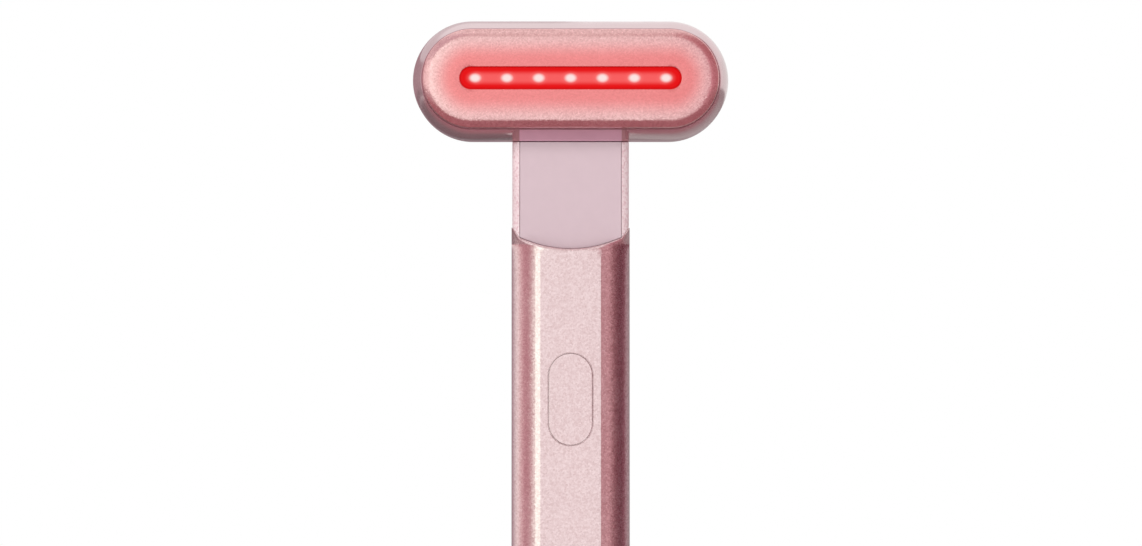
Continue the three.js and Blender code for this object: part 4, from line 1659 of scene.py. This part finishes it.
    def rim(self) -> list[Flat]:
        """Gives the rows over the mouth's rounded rim, from the outside to the cavity.

        Returns:
            Each row's share of the way through the wall, and its drop below the seat.
        """
        wall = self.section.wall
        mouth = self.round_over(self.mouth_round, self.mouth_steps)
        lip = self.round_over(self.lip_round, self.lip_steps)
        rows = [(0.0, drop) for drop in self.mouth_drops]
        rows += [(reach / wall, drop) for reach, drop in mouth]
        rows += [(share, 0.0) for share in self.mouth_shares]
        rows += [(1 - reach / wall, drop) for reach, drop in reversed(lip)]
        return rows + [(1.0, self.mouth_drops[0])]

    @staticmethod
    def round_over(radius: float, steps: int) -> list[Flat]:
        """Gives the reach and the drop of points over a rounded edge, from its side to its top."""
        turn = arc((0, 0), (radius, radius), 0, QUARTER, steps)
        return [(radius - x, radius - y) for x, y in turn]

    def end_cap(self) -> bpy.types.Object:
        """Builds the end cap's flange, with the socket's port and the screws' pockets.

        Returns:
            The new object.
        """
        outline, _, _ = self.section.rings()
        half_x, half_y = self.socket_half
        port = capsule(half_y + self.port_gap, half_x - half_y, self.port_steps, self.port_parts)
        x, y = self.screw_place
        radius = self.screw_radius + self.screw_gap
        pockets = [circle(radius, self.pocket_steps, (side * x, y)) for side in (-1, 1)]
        holes = [port, *pockets]
        return pierced_plate("cap_flange", outline, holes, 0.0, self.bottom, self.cap_edge)

    def cap_plug(self) -> bpy.types.Object:
        """Builds the plug that the cap holds in the sleeve.

        Returns:
            The new object.
        """
        outer = self.section.cavity(self.plug_gap)
        inner = self.section.cavity(self.plug_gap + self.plug_wall)
        low = self.bottom - self.plug_overlap
        draft = Draft("cap_plug")
        top = self.plug_top
        loops = [level(outer, low), level(outer, top), level(inner, top), level(inner, low)]
        draft.loft(loops, Ends.JOINED)
        return draft.build()

    def socket_shell(self) -> bpy.types.Object:
        """Builds the charging socket's shell, its mouth's edge rounded.

        Returns:
            The new object.
        """
        half_x, half_y = self.socket_half
        inner = half_y - self.socket_wall
        rows = [(half_y - reach, self.socket_low + rise) for reach, rise in self.socket_lip]
        rows += [(half_y, self.socket_high), (inner, self.socket_high)]
        rows += [(inner + reach, self.socket_low + rise) for reach, rise in self.socket_inner_lip]
        draft = Draft("socket_shell")
        loops = []
        for radius, height in rows:
            outline = capsule(radius, half_x - half_y, self.socket_steps, self.socket_parts)
            loops.append(level(outline, height))
        draft.loft(loops, Ends.JOINED)
        return draft.build()

    def contacts(self) -> bpy.types.Object:
        """Builds the contact strips on both faces of the socket's tongue.

        Returns:
            The new object.
        """
        draft = Draft("socket_contacts")
        half = self.contact_half
        low, high = self.contact_heights
        for i in range(self.contact_count):
            x = (i - (self.contact_count - 1) / 2) * self.contact_pitch
            for side in (-1, 1):
                faces = sorted(side * (self.tongue_half + depth) for depth in self.contact_depths)
                draft.block((x - half, faces[0], low), (x + half, faces[1], high))
        return draft.build()

    def screw(self, side: int, name: str) -> bpy.types.Object:
        """Builds a socket-head screw that holds the cap.

        Args:
            side: Minus one for the left, one for the right.
            name: Word for that side.

        Returns:
            The new object.
        """
        x, y = self.screw_place[0] * side, self.screw_place[1]
        sixth = 2 * QUARTER / 3
        key = []
        for i in range(self.screw_steps):
            angle = 4 * QUARTER * i / self.screw_steps
            turn = (angle + sixth / 2) % sixth - sixth / 2
            reach = self.screw_key / math.cos(turn)
            key.append((x + reach * math.cos(angle), y + reach * math.sin(angle)))
        rows = [level(key, self.socket_low + rise) for rise in self.screw_key_rises]
        for radius, rise in self.screw_profile:
            rows.append(level(circle(radius, self.screw_steps, (x, y)), self.socket_low + rise))
        draft = Draft("cap_bolt_" + name)
        draft.loft(rows, Ends.CAPPED)
        return draft.build()


@dataclass
class Button:
    """The flush capsule button, with its flange behind the slot and the boss on the switch's stem.

    The edge gives how far each row lies in from the side and behind the face.
    """

    wardrobe: Wardrobe
    height: float = 81.0
    radius: float = 2.82
    span: float = 3.085
    end_steps: int = 32
    side_parts: int = 20
    front: float = -5.8
    edge: tuple[Flat, ...] = ((0.13, 0.0), (0.05, 0.02), (0.01, 0.07), (0.0, 0.15))
    flange_front: float = -4.65
    flange: float = 0.6
    flange_thickness: float = 0.5
    boss_radius: float = 1.5
    boss_span: float = 0.001
    boss_steps: int = 20
    boss_overlap: float = 0.1
    boss_back: float = -3.4

    def make(self) -> None:
        """Builds and dresses the cap."""
        draft = Draft("button_face")
        wide = self.radius + self.flange
        back = self.flange_front + self.flange_thickness
        rows = [(self.radius - reach, self.front + depth) for reach, depth in self.edge]
        rows += [(self.radius, self.flange_front), (wide, self.flange_front), (wide, back)]
        loops = []
        for radius, depth in rows:
            outline = capsule(radius, self.span, self.end_steps, self.side_parts)
            loops.append(upright([(x, z) for z, x in outline], depth, self.height))
        draft.loft(loops, Ends.CAPPED)
        boss = [(x, z) for z, x in capsule(self.boss_radius, self.boss_span, self.boss_steps, 1)]
        depths = (back - self.boss_overlap, self.boss_back)
        draft.loft([upright(boss, depth, self.height) for depth in depths], Ends.CAPPED)
        self.wardrobe.wear(draft.build(), Slot.ROSE_METAL, Body.BUTTON, "button_cap")


@dataclass
class Neck:
    """The moulded neck: grained rails and the smooth panel that lies between them."""

    wardrobe: Wardrobe
    section: HandleSection = field(default_factory=HandleSection)
    half_x: float = 7.55
    half_y: float = 4.65
    corner: float = 1.5
    flat_parts: int = 8
    corner_parts: int = 12
    side_parts: int = 6
    top: float = 114.24
    plug_bottom: float = 91.4
    plug_drop: float = 1.0
    plug_gap: float = 0.1
    plug_power: float = 8.0
    plug_share: float = 0.97
    panel_sink: float = 0.15
    panel_thickness: float = 0.6
    panel_edge: float = 0.06
    panel_soft: float = 0.3
    panel_parts: int = 40
    seat_gap: float = 0.05
    edge: float = 0.04
    bore: float = 2.08
    chamber: float = 3.45
    chamber_top: float = 111.95

    def make(self) -> None:
        """Builds and dresses the frame and its panel."""
        self.wardrobe.wear(self.frame(), Slot.FROSTED_ROSE, Body.HANDLE, "neck_frame")
        self.wardrobe.wear(self.panel(), Slot.PANEL_ROSE, Body.HANDLE, "neck_panel")

    def outline(self, front_sink: float, back_sink: float, inset: float = 0.0) -> list[Flat]:
        """Outline of the neck, with its front and back drawn in between the rails.

        Args:
            front_sink: Depth of the front recess.
            back_sink: Depth of the back recess.
            inset: How far the whole outline is drawn in.

        Returns:
            The outline.
        """
        edge = self.edge
        half_x = self.half_x - inset
        half_y = self.half_y - inset
        corner = self.corner - inset
        x = half_x - corner
        y = half_y - corner
        inner = self.section.cavity_x
        start = math.acos((inner + edge - x) / corner)
        rail = half_y - corner + corner * math.sin(start)
        half = chain(
            line((0, -half_y + front_sink), (inner, -half_y + front_sink), self.flat_parts),
            [(inner, -rail + edge)],
            arc((x, -y), (corner, corner), -start, 0, self.corner_parts),
            line((half_x, -y), (half_x, y), self.side_parts),
            arc((x, y), (corner, corner), 0, start, self.corner_parts),
            [(inner, rail - edge)],
            line((inner, half_y - back_sink), (0, half_y - back_sink), self.flat_parts),
        )
        return mirrored(half)

    def frame(self) -> bpy.types.Object:
        """Builds the frame: rails, the seat in the sleeve, the plug and the swivel's bore.

        Returns:
            The new object.
        """
        front_sink = self.panel_sink + self.panel_thickness + self.seat_gap
        outer = self.outline(front_sink, self.panel_sink)
        inset = self.outline(front_sink, self.panel_sink, self.edge)
        angles = bearings(outer)
        plug = self.plug_ring(angles)
        bore = spokes(self.bore, angles)
        chamber = spokes(self.chamber, angles)
        rows = [
            level(plug, self.plug_bottom),
            level(plug, self.section.seat(0) - self.plug_drop),
            [(x, y, self.section.seat(x) + self.seat_gap) for x, y in outer],
            level(outer, self.top - self.edge),
            level(inset, self.top),
            level(bore, self.top),
            level(bore, self.chamber_top),
            level(chamber, self.chamber_top),
            level(chamber, self.plug_bottom),
        ]
        draft = Draft("neck_rails")
        draft.loft(rows, Ends.JOINED)
        return draft.build(smooth=25)

    def plug_ring(self, angles: Sequence[float]) -> list[Flat]:
        """Points of the plug's outline at given angles.

        Args:
            angles: Directions from the middle.

        Returns:
            One point for each.
        """
        half_x = self.section.cavity_x - self.plug_gap
        half_y = self.section.cavity_y - self.plug_gap
        power = self.plug_power
        points = []
        for angle in angles:
            across, along = abs(math.cos(angle)) / half_x, abs(math.sin(angle)) / half_y
            reach = self.plug_share * (across ** power + along ** power) ** (-1 / power)
            points += spokes(reach, [angle])
        return points

    def panel(self) -> bpy.types.Object:
        """Builds the panel, its lower edge on the sleeve's scoop.

        Returns:
            The new object.
        """
        half = self.section.cavity_x - self.seat_gap
        front = -self.half_y + self.panel_sink
        back = front + self.panel_thickness
        edge = self.panel_edge
        soft = edge * self.panel_soft
        loops = []
        for grow, depth in ((-edge, front), (-soft, front + soft), (0, front + edge), (0, back)):
            row = [x for x, _ in line((-half - grow, 0), (half + grow, 0), self.panel_parts)]
            lower = [(x, depth, self.section.seat(x) + self.seat_gap - grow) for x in row]
            loops.append(lower + [(x, depth, self.top + grow) for x in reversed(row)])
        draft = Draft("neck_face")
        draft.loft(loops, Ends.CAPPED)
        return draft.build(smooth=50)


@dataclass
class Head:
    """The treatment head: housing, contact plate, lit window and the collar that it swivels on.

    A round, bevel, fall or crown is given by its reach along the face and its depth, and a turn by
    the angles of the face where it starts and ends. An edge of rows gives each row's reach and
    depth.
    """

    wardrobe: Wardrobe
    neck: Neck
    centre: float = 122.35
    span: float = 12.775
    end_steps: int = 48
    side_parts: int = 36
    outer: float = 7.725
    front: float = -4.6
    back: float = 4.9
    ring: float = 1.22
    ring_turn: Flat = (math.radians(20), QUARTER)
    ring_steps: int = 18
    front_round: float = 3.0
    flank_parts: int = 4
    back_round: Flat = (2.6, 2.5)
    back_steps: int = 20
    back_flat: float = 3.0
    wall: float = 1.5
    hollow_steps: int = 6
    hollow_depth: float = 1.75
    land: float = 5.305
    land_edge: float = 0.05
    land_thickness: float = 1.0
    plate_radius: float = 6.505
    plate_front: float = -6.8
    plate_back: float = -4.9
    plate_edge: float = 0.06
    slot_edge: tuple[Flat, ...] = ((0.0, 0.1), (0.03, 0.03), (0.1, 0.0))
    face_shares: Point = (0.3, 0.6, 0.99)
    bevel: Flat = (0.86, 1.2)
    bevel_turn: Flat = (math.radians(15), math.radians(29))
    bevel_fall: Flat = (0.07, 0.8)
    bevel_steps: int = 10
    fall_turn: float = 0.25
    crown: Flat = (1.2, 0.06)
    crown_parts: int = 4
    seal_front: float = -4.72
    seal_gap: float = 0.12
    seal_tuck: float = 0.005
    seal_lap: float = 0.04
    seal_round: float = 0.02
    window_radius: float = 1.45
    window_span: float = 12.85
    window_front: float = -6.65
    window_back: float = -5.45
    window_edge: tuple[Flat, ...] = ((0.3, 0.0), (0.12, 0.015), (0.04, 0.05), (0.0, 0.13))
    window_lip: float = 0.45
    window_lip_thickness: float = 0.5
    gap: float = 0.05
    collar_bottom: float = 114.34
    collar_top: float = 115.83
    collar_sink: float = 0.02
    collar_fill_rise: float = 0.3
    collar_bore: float = 2.05
    corner_fill: float = 0.4

    def make(self) -> None:
        """Builds and dresses every piece."""
        wear = self.wardrobe.wear
        wear(self.housing(), Slot.SMOKY_ROSE, Body.HEAD, "head_housing")
        wear(self.plate(), Slot.PLATE_METAL, Body.HEAD, "contact_plate")
        wear(self.seal(), Slot.DARK_RUBBER, Body.HEAD)
        wear(self.window(), Slot.RED_LENS, Body.HEAD, "light_window")
        wear(self.collar(), Slot.COLLAR_ROSE, Body.HEAD, "swivel_collar")

    def stadium(self, radius: float, depth: float, span: Optional[float] = None) -> list[Point]:
        """One upright loop round the head's middle line."""
        reach = self.span if span is None else span
        outline = capsule(radius, reach, self.end_steps, self.side_parts)
        return upright(outline, depth, self.centre)

    def housing(self) -> bpy.types.Object:
        """Builds the housing's shell: round front shoulder, rounder back and the plate's land.

        Returns:
            The new object.
        """
        reach, rise = self.back_round
        turn_front = self.front + self.front_round
        turn_back = self.back - rise
        inner = self.outer - self.ring
        turn = (self.outer - reach, turn_back)
        profile = [(self.land, self.front), (inner - self.land_edge, self.front)]
        for across, down in bent_slope(*self.ring_turn, self.ring_steps):
            profile.append((inner + self.ring * across, self.front + self.front_round * down))
        profile += line((self.outer, turn_front), (self.outer, turn_back), self.flank_parts)[1:]
        profile += arc(turn, (reach, rise), 0, QUARTER, self.back_steps)[1:]
        profile += [(self.back_flat, self.back)]
        hollow = [(self.back_flat, self.back - self.wall)]
        hollow += arc(turn, (reach - self.wall, rise - self.wall), QUARTER, 0, self.hollow_steps)
        hollow += [
            (self.outer - self.wall, self.front + self.hollow_depth),
            (self.land, self.front + self.land_thickness),
        ]
        draft = Draft("head_shell")
        loops = [self.stadium(radius, depth) for radius, depth in profile + hollow]
        rows = draft.loft(loops, Ends.JOINED)
        at = len(profile) - 1
        draft.faces = [face for face in draft.faces if not self.spans(face, rows[at], rows[at + 1])]
        draft.faces.append(tuple(rows[at]))
        draft.faces.append(tuple(reversed(rows[at + 1])))
        return draft.build(smooth=40)

    @staticmethod
    def spans(face: Sequence[int], lower: Sequence[int], upper: Sequence[int]) -> bool:
        """Tells whether a face joins two loops."""
        low, high = range(lower[0], lower[-1] + 1), range(upper[0], upper[-1] + 1)
        return any(corner in low for corner in face) and any(corner in high for corner in face)

    def plate(self) -> bpy.types.Object:
        """Builds the contact plate: flat face, round bevel and the window's stepped slot.

        Returns:
            The new object.
        """
        width, depth = self.bevel
        rim = self.plate_radius - self.seal_gap
        flat = rim - width
        lip = self.window_radius + self.window_lip + self.gap
        lip_front = self.window_back - self.window_lip_thickness - self.gap
        loops = [self.stadium(self.window_radius, lip_front, self.window_span)]
        for reach, sink in self.slot_edge:
            radius = self.window_radius + reach
            loops.append(self.stadium(radius, self.plate_front + sink, self.window_span))
        crown, crown_drop = self.crown
        level_end = flat - crown
        for share in self.face_shares:
            radius = self.window_radius + (level_end - self.window_radius) * share
            span = self.window_span + (self.span - self.window_span) * share
            loops.append(self.stadium(radius, self.plate_front, span))
        for i in range(self.crown_parts):
            share = (i + 1) / self.crown_parts
            place = self.plate_front + crown_drop * share ** 2
            loops.append(self.stadium(level_end + crown * share, place))
        fall, drop = self.bevel_fall
        edge_front = self.plate_front + crown_drop
        fall_front = self.plate_front + depth - drop
        slope = bent_slope(*self.bevel_turn, self.bevel_steps)
        profile = [
            (flat + (width - fall) * across, edge_front + (fall_front - edge_front) * down)
            for across, down in slope[1:]
        ]
        turn = (rim - fall, fall_front + drop)
        profile += arc(turn, (fall, drop), -QUARTER + self.fall_turn, 0, self.bevel_steps)[1:]
        back = self.plate_back
        profile += [(rim, back - self.plate_edge), (rim - self.plate_edge, back)]
        loops += [self.stadium(radius, place) for radius, place in profile]
        loops += [self.stadium(lip, place, self.window_span) for place in (back, lip_front)]
        draft = Draft("plate_shell")
        draft.loft(loops, Ends.JOINED)
        return draft.build(smooth=40)

    def seal(self) -> bpy.types.Object:
        """Builds the seal's lip, the thin line that shows between the plate and the housing.

        Returns:
            The new object.
        """
        inner = self.plate_radius - self.seal_gap + self.seal_tuck
        outer = self.plate_radius + self.seal_lap
        side = self.seal_front + self.seal_round
        profile = (
            (inner, self.front), (inner, side), ((inner + outer) / 2, self.seal_front),
            (outer, side), (outer, self.front),
        )
        draft = Draft("seal_lip")
        draft.loft([self.stadium(radius, depth) for radius, depth in profile], Ends.JOINED)
        return draft.build(smooth=60)

    def window(self) -> bpy.types.Object:
        """Builds the window, its edge rounded and its lip behind the plate.

        Returns:
            The new object.
        """
        radius = self.window_radius - self.gap
        lip_front = self.window_back - self.window_lip_thickness
        wide = radius + self.window_lip
        rows = [(radius - reach, self.window_front + sink) for reach, sink in self.window_edge]
        rows += [(radius, lip_front), (wide, lip_front), (wide, self.window_back)]
        draft = Draft("window_lens")
        loops = [self.stadium(reach, depth, self.window_span) for reach, depth in rows]
        draft.loft(loops, Ends.CAPPED)
        return draft.build(smooth=50)

    def squared(self, point: Flat) -> Flat:
        """Moves a point of the neck's round corner out towards a square corner.

        Args:
            point: A point of the neck's outline.

        Returns:
            The moved point, or the same one where the outline is straight.
        """
        centre_x = self.neck.half_x - self.neck.corner
        centre_y = self.neck.half_y - self.neck.corner
        x, y = abs(point[0]) - centre_x, abs(point[1]) - centre_y
        if x <= 0 or y <= 0:
            return point
        reach = math.hypot(x, y)
        fuller = [(part / reach) ** self.corner_fill * reach for part in (x, y)]
        return (
            math.copysign(centre_x + fuller[0], point[0]),
            math.copysign(centre_y + fuller[1], point[1]),
        )

    def collar(self) -> bpy.types.Object:
        """Builds the collar under the housing, with the neck's section and the spigot's bore.

        Returns:
            The new object.
        """
        outer = self.neck.outline(self.collar_sink, self.neck.panel_sink)
        inset = self.neck.outline(self.collar_sink, self.neck.panel_sink, self.neck.edge)
        filled = [self.squared(point) for point in outer]
        bore = spokes(self.collar_bore, bearings(outer))
        low, high = self.collar_bottom, self.collar_top
        draft = Draft("collar_ring")
        draft.loft([
            level(inset, low), level(outer, low + self.neck.edge),
            level(filled, low + self.collar_fill_rise), level(filled, high),
            level(bore, high), level(bore, low),
        ], Ends.JOINED)
        return draft.build(smooth=25)


# Studio

WHITE: Point = (1.0, 1.0, 1.0)
ROSE_SHADE: Point = (0.34, 0.13, 0.16)
HIGH_LIGHT: Point = (0.8, 0.73, 0.72)


@dataclass(frozen=True)
class LightWall:
    """A screen turned round the swivel axis, whose light changes with the angle from the front.

    Each stop gives an angle in degrees, negative to the left, and the light that is given back
    there. The screen's other side has stops of its own. Between the two heights of its fade the
    light turns white, and a screen that isn't given them lies below both.
    """

    name: str
    first_rim: Flat
    last_rim: Flat
    stops: Stops
    other_side: Stops
    fade: Flat = (1000.0, 1100.0)
    parts: int = 96

    def screen(self) -> bpy.types.Object:
        """Builds the screen between its two rims, each given by its reach and its height.

        Returns:
            The new object, lit on its inner or upper side.
        """
        draft = Draft(self.name)
        for reach, height in (self.first_rim, self.last_rim):
            draft.loop(level(circle(reach, self.parts), height))
        draft.bridge(range(self.parts), range(self.parts, 2 * self.parts))
        piece = draft.build()
        if self.first_rim[0] == self.last_rim[0]:
            piece.data.flip_normals()
        return piece

    def material(self) -> bpy.types.Material:
        """Makes the screen's light.

        Returns:
            The material.
        """
        desk, shader, material = Desk.material(self.name)
        place = desk.parts(desk.place())
        angle = desk.math("ARCTAN2", place["X"], desk.share(place["Y"], -1.0))
        turn = desk.math("MULTIPLY_ADD", angle, 0.5 / math.pi, 0.5)
        behind = desk.add("NewGeometry").outputs["Backfacing"]
        given = self.ramp(desk, turn, self.stops)
        light = desk.mix(behind, given, self.ramp(desk, turn, self.other_side))
        low, high = (height * MILLIMETRE for height in self.fade)
        light = desk.mix(desk.span(place["Z"], low, high), light, (*WHITE, 1.0))
        shader.inputs["Base Color"].default_value = (0, 0, 0, 1)
        shader.inputs["Specular IOR Level"].default_value = 0.0
        shader.inputs["Roughness"].default_value = 1.0
        desk.feed(shader.inputs["Emission Color"], light)
        shader.inputs["Emission Strength"].default_value = 1.0
        return material

    @staticmethod
    def ramp(desk: Desk, turn: Value, stops: Stops) -> bpy.types.NodeSocket:
        """Adds the ramp that turns an angle into its light.

        Args:
            desk: The material's desk.
            turn: The angle, 0 to 1 for a whole turn from the back.
            stops: The light at each angle.

        Returns:
            The light.
        """
        ramp = desk.add("ValToRGB")
        desk.feed(ramp.inputs["Fac"], turn)
        elements = ramp.color_ramp.elements
        for i, (degrees, light) in enumerate(stops):
            place = degrees / 360 + 0.5
            element = elements[i] if i < len(elements) else elements.new(place)
            element.position = place
            element.color = (*light, 1.0)
        return ramp.outputs["Color"]


HANDLE_STOPS: Stops = (
    (-180, (0.35, 0.28, 0.3)),
    (-128, (0.42, 0.34, 0.37)),
    (-104, (0.72, 0.65, 0.67)),
    (-82, (1.0, 0.93, 0.91)),
    (-66, (0.75, 0.49, 0.51)),
    (-54, (0.48, 0.21, 0.25)),
    (-45, (0.54, 0.28, 0.31)),
    (-39, (0.66, 0.46, 0.48)),
    (-34, (1.2, 1.25, 1.15)),
    (-30, (1.4, 1.6, 1.45)),
    (-21, (1.45, 1.7, 1.55)),
    (-17, WHITE),
    (15, WHITE),
    (18, (0.57, 0.3, 0.33)),
    (30, (0.53, 0.28, 0.31)),
    (36, (0.68, 0.39, 0.42)),
    (42, (0.52, 0.27, 0.3)),
    (48, (0.3, 0.11, 0.13)),
    (58, (0.16, 0.03, 0.05)),
    (72, (0.13, 0.02, 0.04)),
    (86, (0.22, 0.06, 0.09)),
    (101, (0.4, 0.27, 0.3)),
    (125, (0.38, 0.33, 0.34)),
    (180, (0.35, 0.28, 0.3)),
)

HEAD_STOPS: Stops = (
    (-180, (0.38, 0.23, 0.26)),
    (-78, (0.42, 0.27, 0.3)),
    (-62, (0.78, 0.62, 0.64)),
    (-50, (1.1, 1.05, 1.05)),
    (-24, (1.3, 1.4, 1.35)),
    (-15, (1.05, 1.1, 1.08)),
    (-10, WHITE),
    (10, WHITE),
    (18, (0.95, 0.9, 0.92)),
    (29, (0.6, 0.28, 0.34)),
    (56, (0.45, 0.18, 0.22)),
    (70, (0.5, 0.26, 0.29)),
    (84, (0.95, 0.86, 0.86)),
    (100, (0.86, 0.84, 0.83)),
    (180, (0.95, 1.0, 0.98)),
)

LOW_HEAD_STOPS: Stops = (
    (-180, (0.34, 0.25, 0.27)),
    (-135, (0.25, 0.165, 0.18)),
    (-80, (0.27, 0.175, 0.19)),
    (-60, (0.34, 0.21, 0.24)),
    (-44, (0.6, 0.45, 0.48)),
    (-12, WHITE),
    (12, WHITE),
    (26, (0.45, 0.22, 0.26)),
    (56, (0.38, 0.17, 0.2)),
    (72, (0.36, 0.18, 0.2)),
    (90, (0.32, 0.25, 0.26)),
    (180, (0.38, 0.31, 0.32)),
)

UPPER_HEAD_STOPS: Stops = (
    (-180, (0.75, 0.68, 0.69)),
    (-62, (0.74, 0.66, 0.68)),
    (-50, (0.64, 0.52, 0.57)),
    (-22, (0.7, 0.58, 0.62)),
    (-8, HIGH_LIGHT),
    (8, HIGH_LIGHT),
    (22, (0.5, 0.2, 0.24)),
    (60, (0.38, 0.11, 0.14)),
    (68, (0.4, 0.14, 0.17)),
    (84, (0.95, 0.9, 0.9)),
    (180, WHITE),
)

FLOOR_STOPS: Stops = (
    (-180, (0.27, 0.2, 0.215)),
    (-158, (0.17, 0.14, 0.15)),
    (-140, (0.18, 0.1, 0.115)),
    (-100, (0.2, 0.12, 0.135)),
    (-78, (0.32, 0.14, 0.16)),
    (-56, (0.38, 0.14, 0.17)),
    (-30, ROSE_SHADE),
    (56, ROSE_SHADE),
    (78, (0.36, 0.16, 0.18)),
    (100, (0.38, 0.3, 0.31)),
    (115, (0.42, 0.36, 0.36)),
    (140, (0.46, 0.42, 0.42)),
    (154, (0.45, 0.41, 0.41)),
    (163, (0.3, 0.22, 0.235)),
    (180, (0.27, 0.2, 0.215)),
)

PLAIN_STOPS: Stops = ((-180, WHITE), (180, WHITE))
HIGH_STOPS: Stops = ((-180, HIGH_LIGHT), (180, HIGH_LIGHT))

WALLS: tuple[LightWall, ...] = (
    LightWall("handle_wall", (300.0, 0.0), (300.0, 150.0), HANDLE_STOPS, PLAIN_STOPS),
    LightWall("head_wall", (80.0, 115.0), (80.0, 150.0), HEAD_STOPS, PLAIN_STOPS),
    LightWall(
        "upper_head_wall", (80.0, 150.0), (80.0, 240.0), UPPER_HEAD_STOPS, PLAIN_STOPS,
        fade=(185.0, 238.0),
    ),
    LightWall("low_head_wall", (80.0, 104.0), (80.0, 115.0), LOW_HEAD_STOPS, PLAIN_STOPS),
    LightWall("head_floor", (8.2, 101.0), (80.0, 101.0), FLOOR_STOPS, HANDLE_STOPS),
)


@dataclass
class Studio:
    """The white room: floor, lamps, screens and camera.

    Places, distances and the floor's reach are in metres. The lens, its sensor, the floor's level
    and grain and the high screen are in millimetres.
    """

    distance: float = 0.5
    camera_height: float = 0.085
    aim: Point = (0.00005, -0.004, 0.0973)
    lens: float = 121.0
    sensor_width: float = 36.0
    clip_start: float = 0.01
    ambient: float = 0.48
    floor_reach: float = 0.55
    floor_parts: int = 96
    floor_level: float = -0.02
    floor_tones: tuple[Color, Color] = ((238, 237, 236), (244, 243, 242))
    floor_grain: float = 2.5
    floor_roughness: float = 0.7
    floor_glow: float = 0.12
    floor_fade: Flat = (0.35, 0.95)
    lamp_aim: Point = (0, 0, 0.09)
    high_corners: tuple[Flat, ...] = ((-150, -60), (150, -60), (150, -270), (-150, -270))
    high_level: float = 260.0

    def make(self) -> None:
        """Sets up the whole studio."""
        self.view()
        self.world()
        self.floor()
        self.lamps()
        self.screens()
        bpy.context.scene.view_settings.view_transform = "Standard"

    def view(self) -> None:
        """Sets the camera at the photograph's angle."""
        camera = bpy.data.cameras.new("camera")
        camera.lens = self.lens
        camera.sensor_width = self.sensor_width
        camera.clip_start = self.clip_start
        eye = placed("camera", camera)
        eye.location = (self.aim[0], -self.distance, self.camera_height)
        towards = Vector(self.aim) - eye.location
        eye.rotation_euler = towards.to_track_quat("-Z", "Y").to_euler()
        bpy.context.scene.camera = eye

    @staticmethod
    def seen(desk: Desk) -> bpy.types.NodeSocket:
        """Tells what is seen, directly or in metal and glass, from what only gives light.

        Args:
            desk: The material's or the world's desk.

        Returns:
            One where it is seen, and zero elsewhere.
        """
        path = desk.add("LightPath")
        either = desk.math("MAXIMUM", path.outputs["Is Camera Ray"], path.outputs["Is Glossy Ray"])
        return desk.math("MAXIMUM", either, path.outputs["Is Transmission Ray"])

    def world(self) -> None:
        """Makes the white surroundings, dimmer where they only light the object."""
        world = bpy.data.worlds.new("white_room")
        world.use_nodes = True
        bpy.context.scene.world = world
        desk = Desk(world.node_tree)
        seen = self.seen(desk)
        back = world.node_tree.nodes["Background"]
        back.inputs["Color"].default_value = (*WHITE, 1.0)
        strength = desk.math("MULTIPLY_ADD", seen, 1 - self.ambient, self.ambient)
        desk.feed(back.inputs["Strength"], strength)

    def floor(self) -> None:
        """Lays the pale floor, which keeps the object's shadow and fades into the white room."""
        draft = Draft("floor")
        ring = circle(self.floor_reach / MILLIMETRE, self.floor_parts)
        draft.faces.append(tuple(draft.loop(level(ring, self.floor_level))))
        plane = draft.build()
        desk, shader, material = Desk.material("pale_floor")
        grain = desk.noise(1 / (self.floor_grain * MILLIMETRE))
        tones = (shade(*tone) for tone in self.floor_tones)
        desk.feed(shader.inputs["Base Color"], desk.mix(grain, *tones))
        shader.inputs["Roughness"].default_value = self.floor_roughness
        away = desk.vector("LENGTH", desk.place()).outputs["Value"]
        near, far = (self.floor_reach * share for share in self.floor_fade)
        fade = desk.span(away, near, far, self.floor_glow, 1.0)
        glow = desk.math("MULTIPLY", fade, self.seen(desk))
        shader.inputs["Emission Color"].default_value = (*WHITE, 1.0)
        desk.feed(shader.inputs["Emission Strength"], glow)
        plane.data.materials.append(material)

    def lamp(self, name: str, place: Point, size: Flat, power: float) -> None:
        """Sets up a soft lamp that faces the object.

        Args:
            name: Its name.
            place: Its place.
            size: Its width and height.
            power: Its power in watts.
        """
        light = bpy.data.lights.new(name, "AREA")
        light.shape = "RECTANGLE"
        light.size, light.size_y = size
        light.energy = power
        holder = placed(name, light)
        holder.location = place
        towards = Vector(self.lamp_aim) - Vector(place)
        holder.rotation_euler = towards.to_track_quat("-Z", "Y").to_euler()
        holder.visible_glossy = False

    def lamps(self) -> None:
        """Sets up the soft lamps."""
        self.lamp("key_lamp", place=(-0.15, -0.45, 0.66), size=(0.3, 0.3), power=3.4)
        self.lamp("left_lamp", place=(-0.7, -0.1, 0.2), size=(0.3, 0.4), power=0.5)
        self.lamp("right_lamp", place=(0.7, -0.2, 0.2), size=(0.3, 0.4), power=0.5)

    def hide(self, screen: bpy.types.Object, material: bpy.types.Material) -> None:
        """Dresses a screen and keeps it out of everything but reflections.

        Args:
            screen: The screen.
            material: Its light.
        """
        screen.data.materials.append(material)
        screen.visible_camera = False
        screen.visible_shadow = False
        screen.visible_diffuse = False

    def screens(self) -> None:
        """Stands the screens round the object, seen only in its reflections."""
        for wall in WALLS:
            self.hide(wall.screen(), wall.material())
        draft = Draft("high_screen")
        draft.faces.append(tuple(draft.loop(level(self.high_corners, self.high_level))))
        light = LightWall("high_screen", (0, 0), (0, 0), HIGH_STOPS, PLAIN_STOPS)
        piece = draft.build()
        piece.data.flip_normals()
        self.hide(piece, light.material())


def main() -> None:
    """Dresses the wand, piece by piece, and sets up the studio."""
    logging.basicConfig(level=logging.INFO, format="%(name)s: %(message)s")
    wardrobe = Wardrobe(Effects.made())
    wardrobe.fill()
    wardrobe.dress_nodes()
    Handle(wardrobe).make()
    Button(wardrobe).make()
    neck = Neck(wardrobe)
    neck.make()
    Head(wardrobe, neck).make()
    Studio().make()


if __name__ == "__main__":
    main()
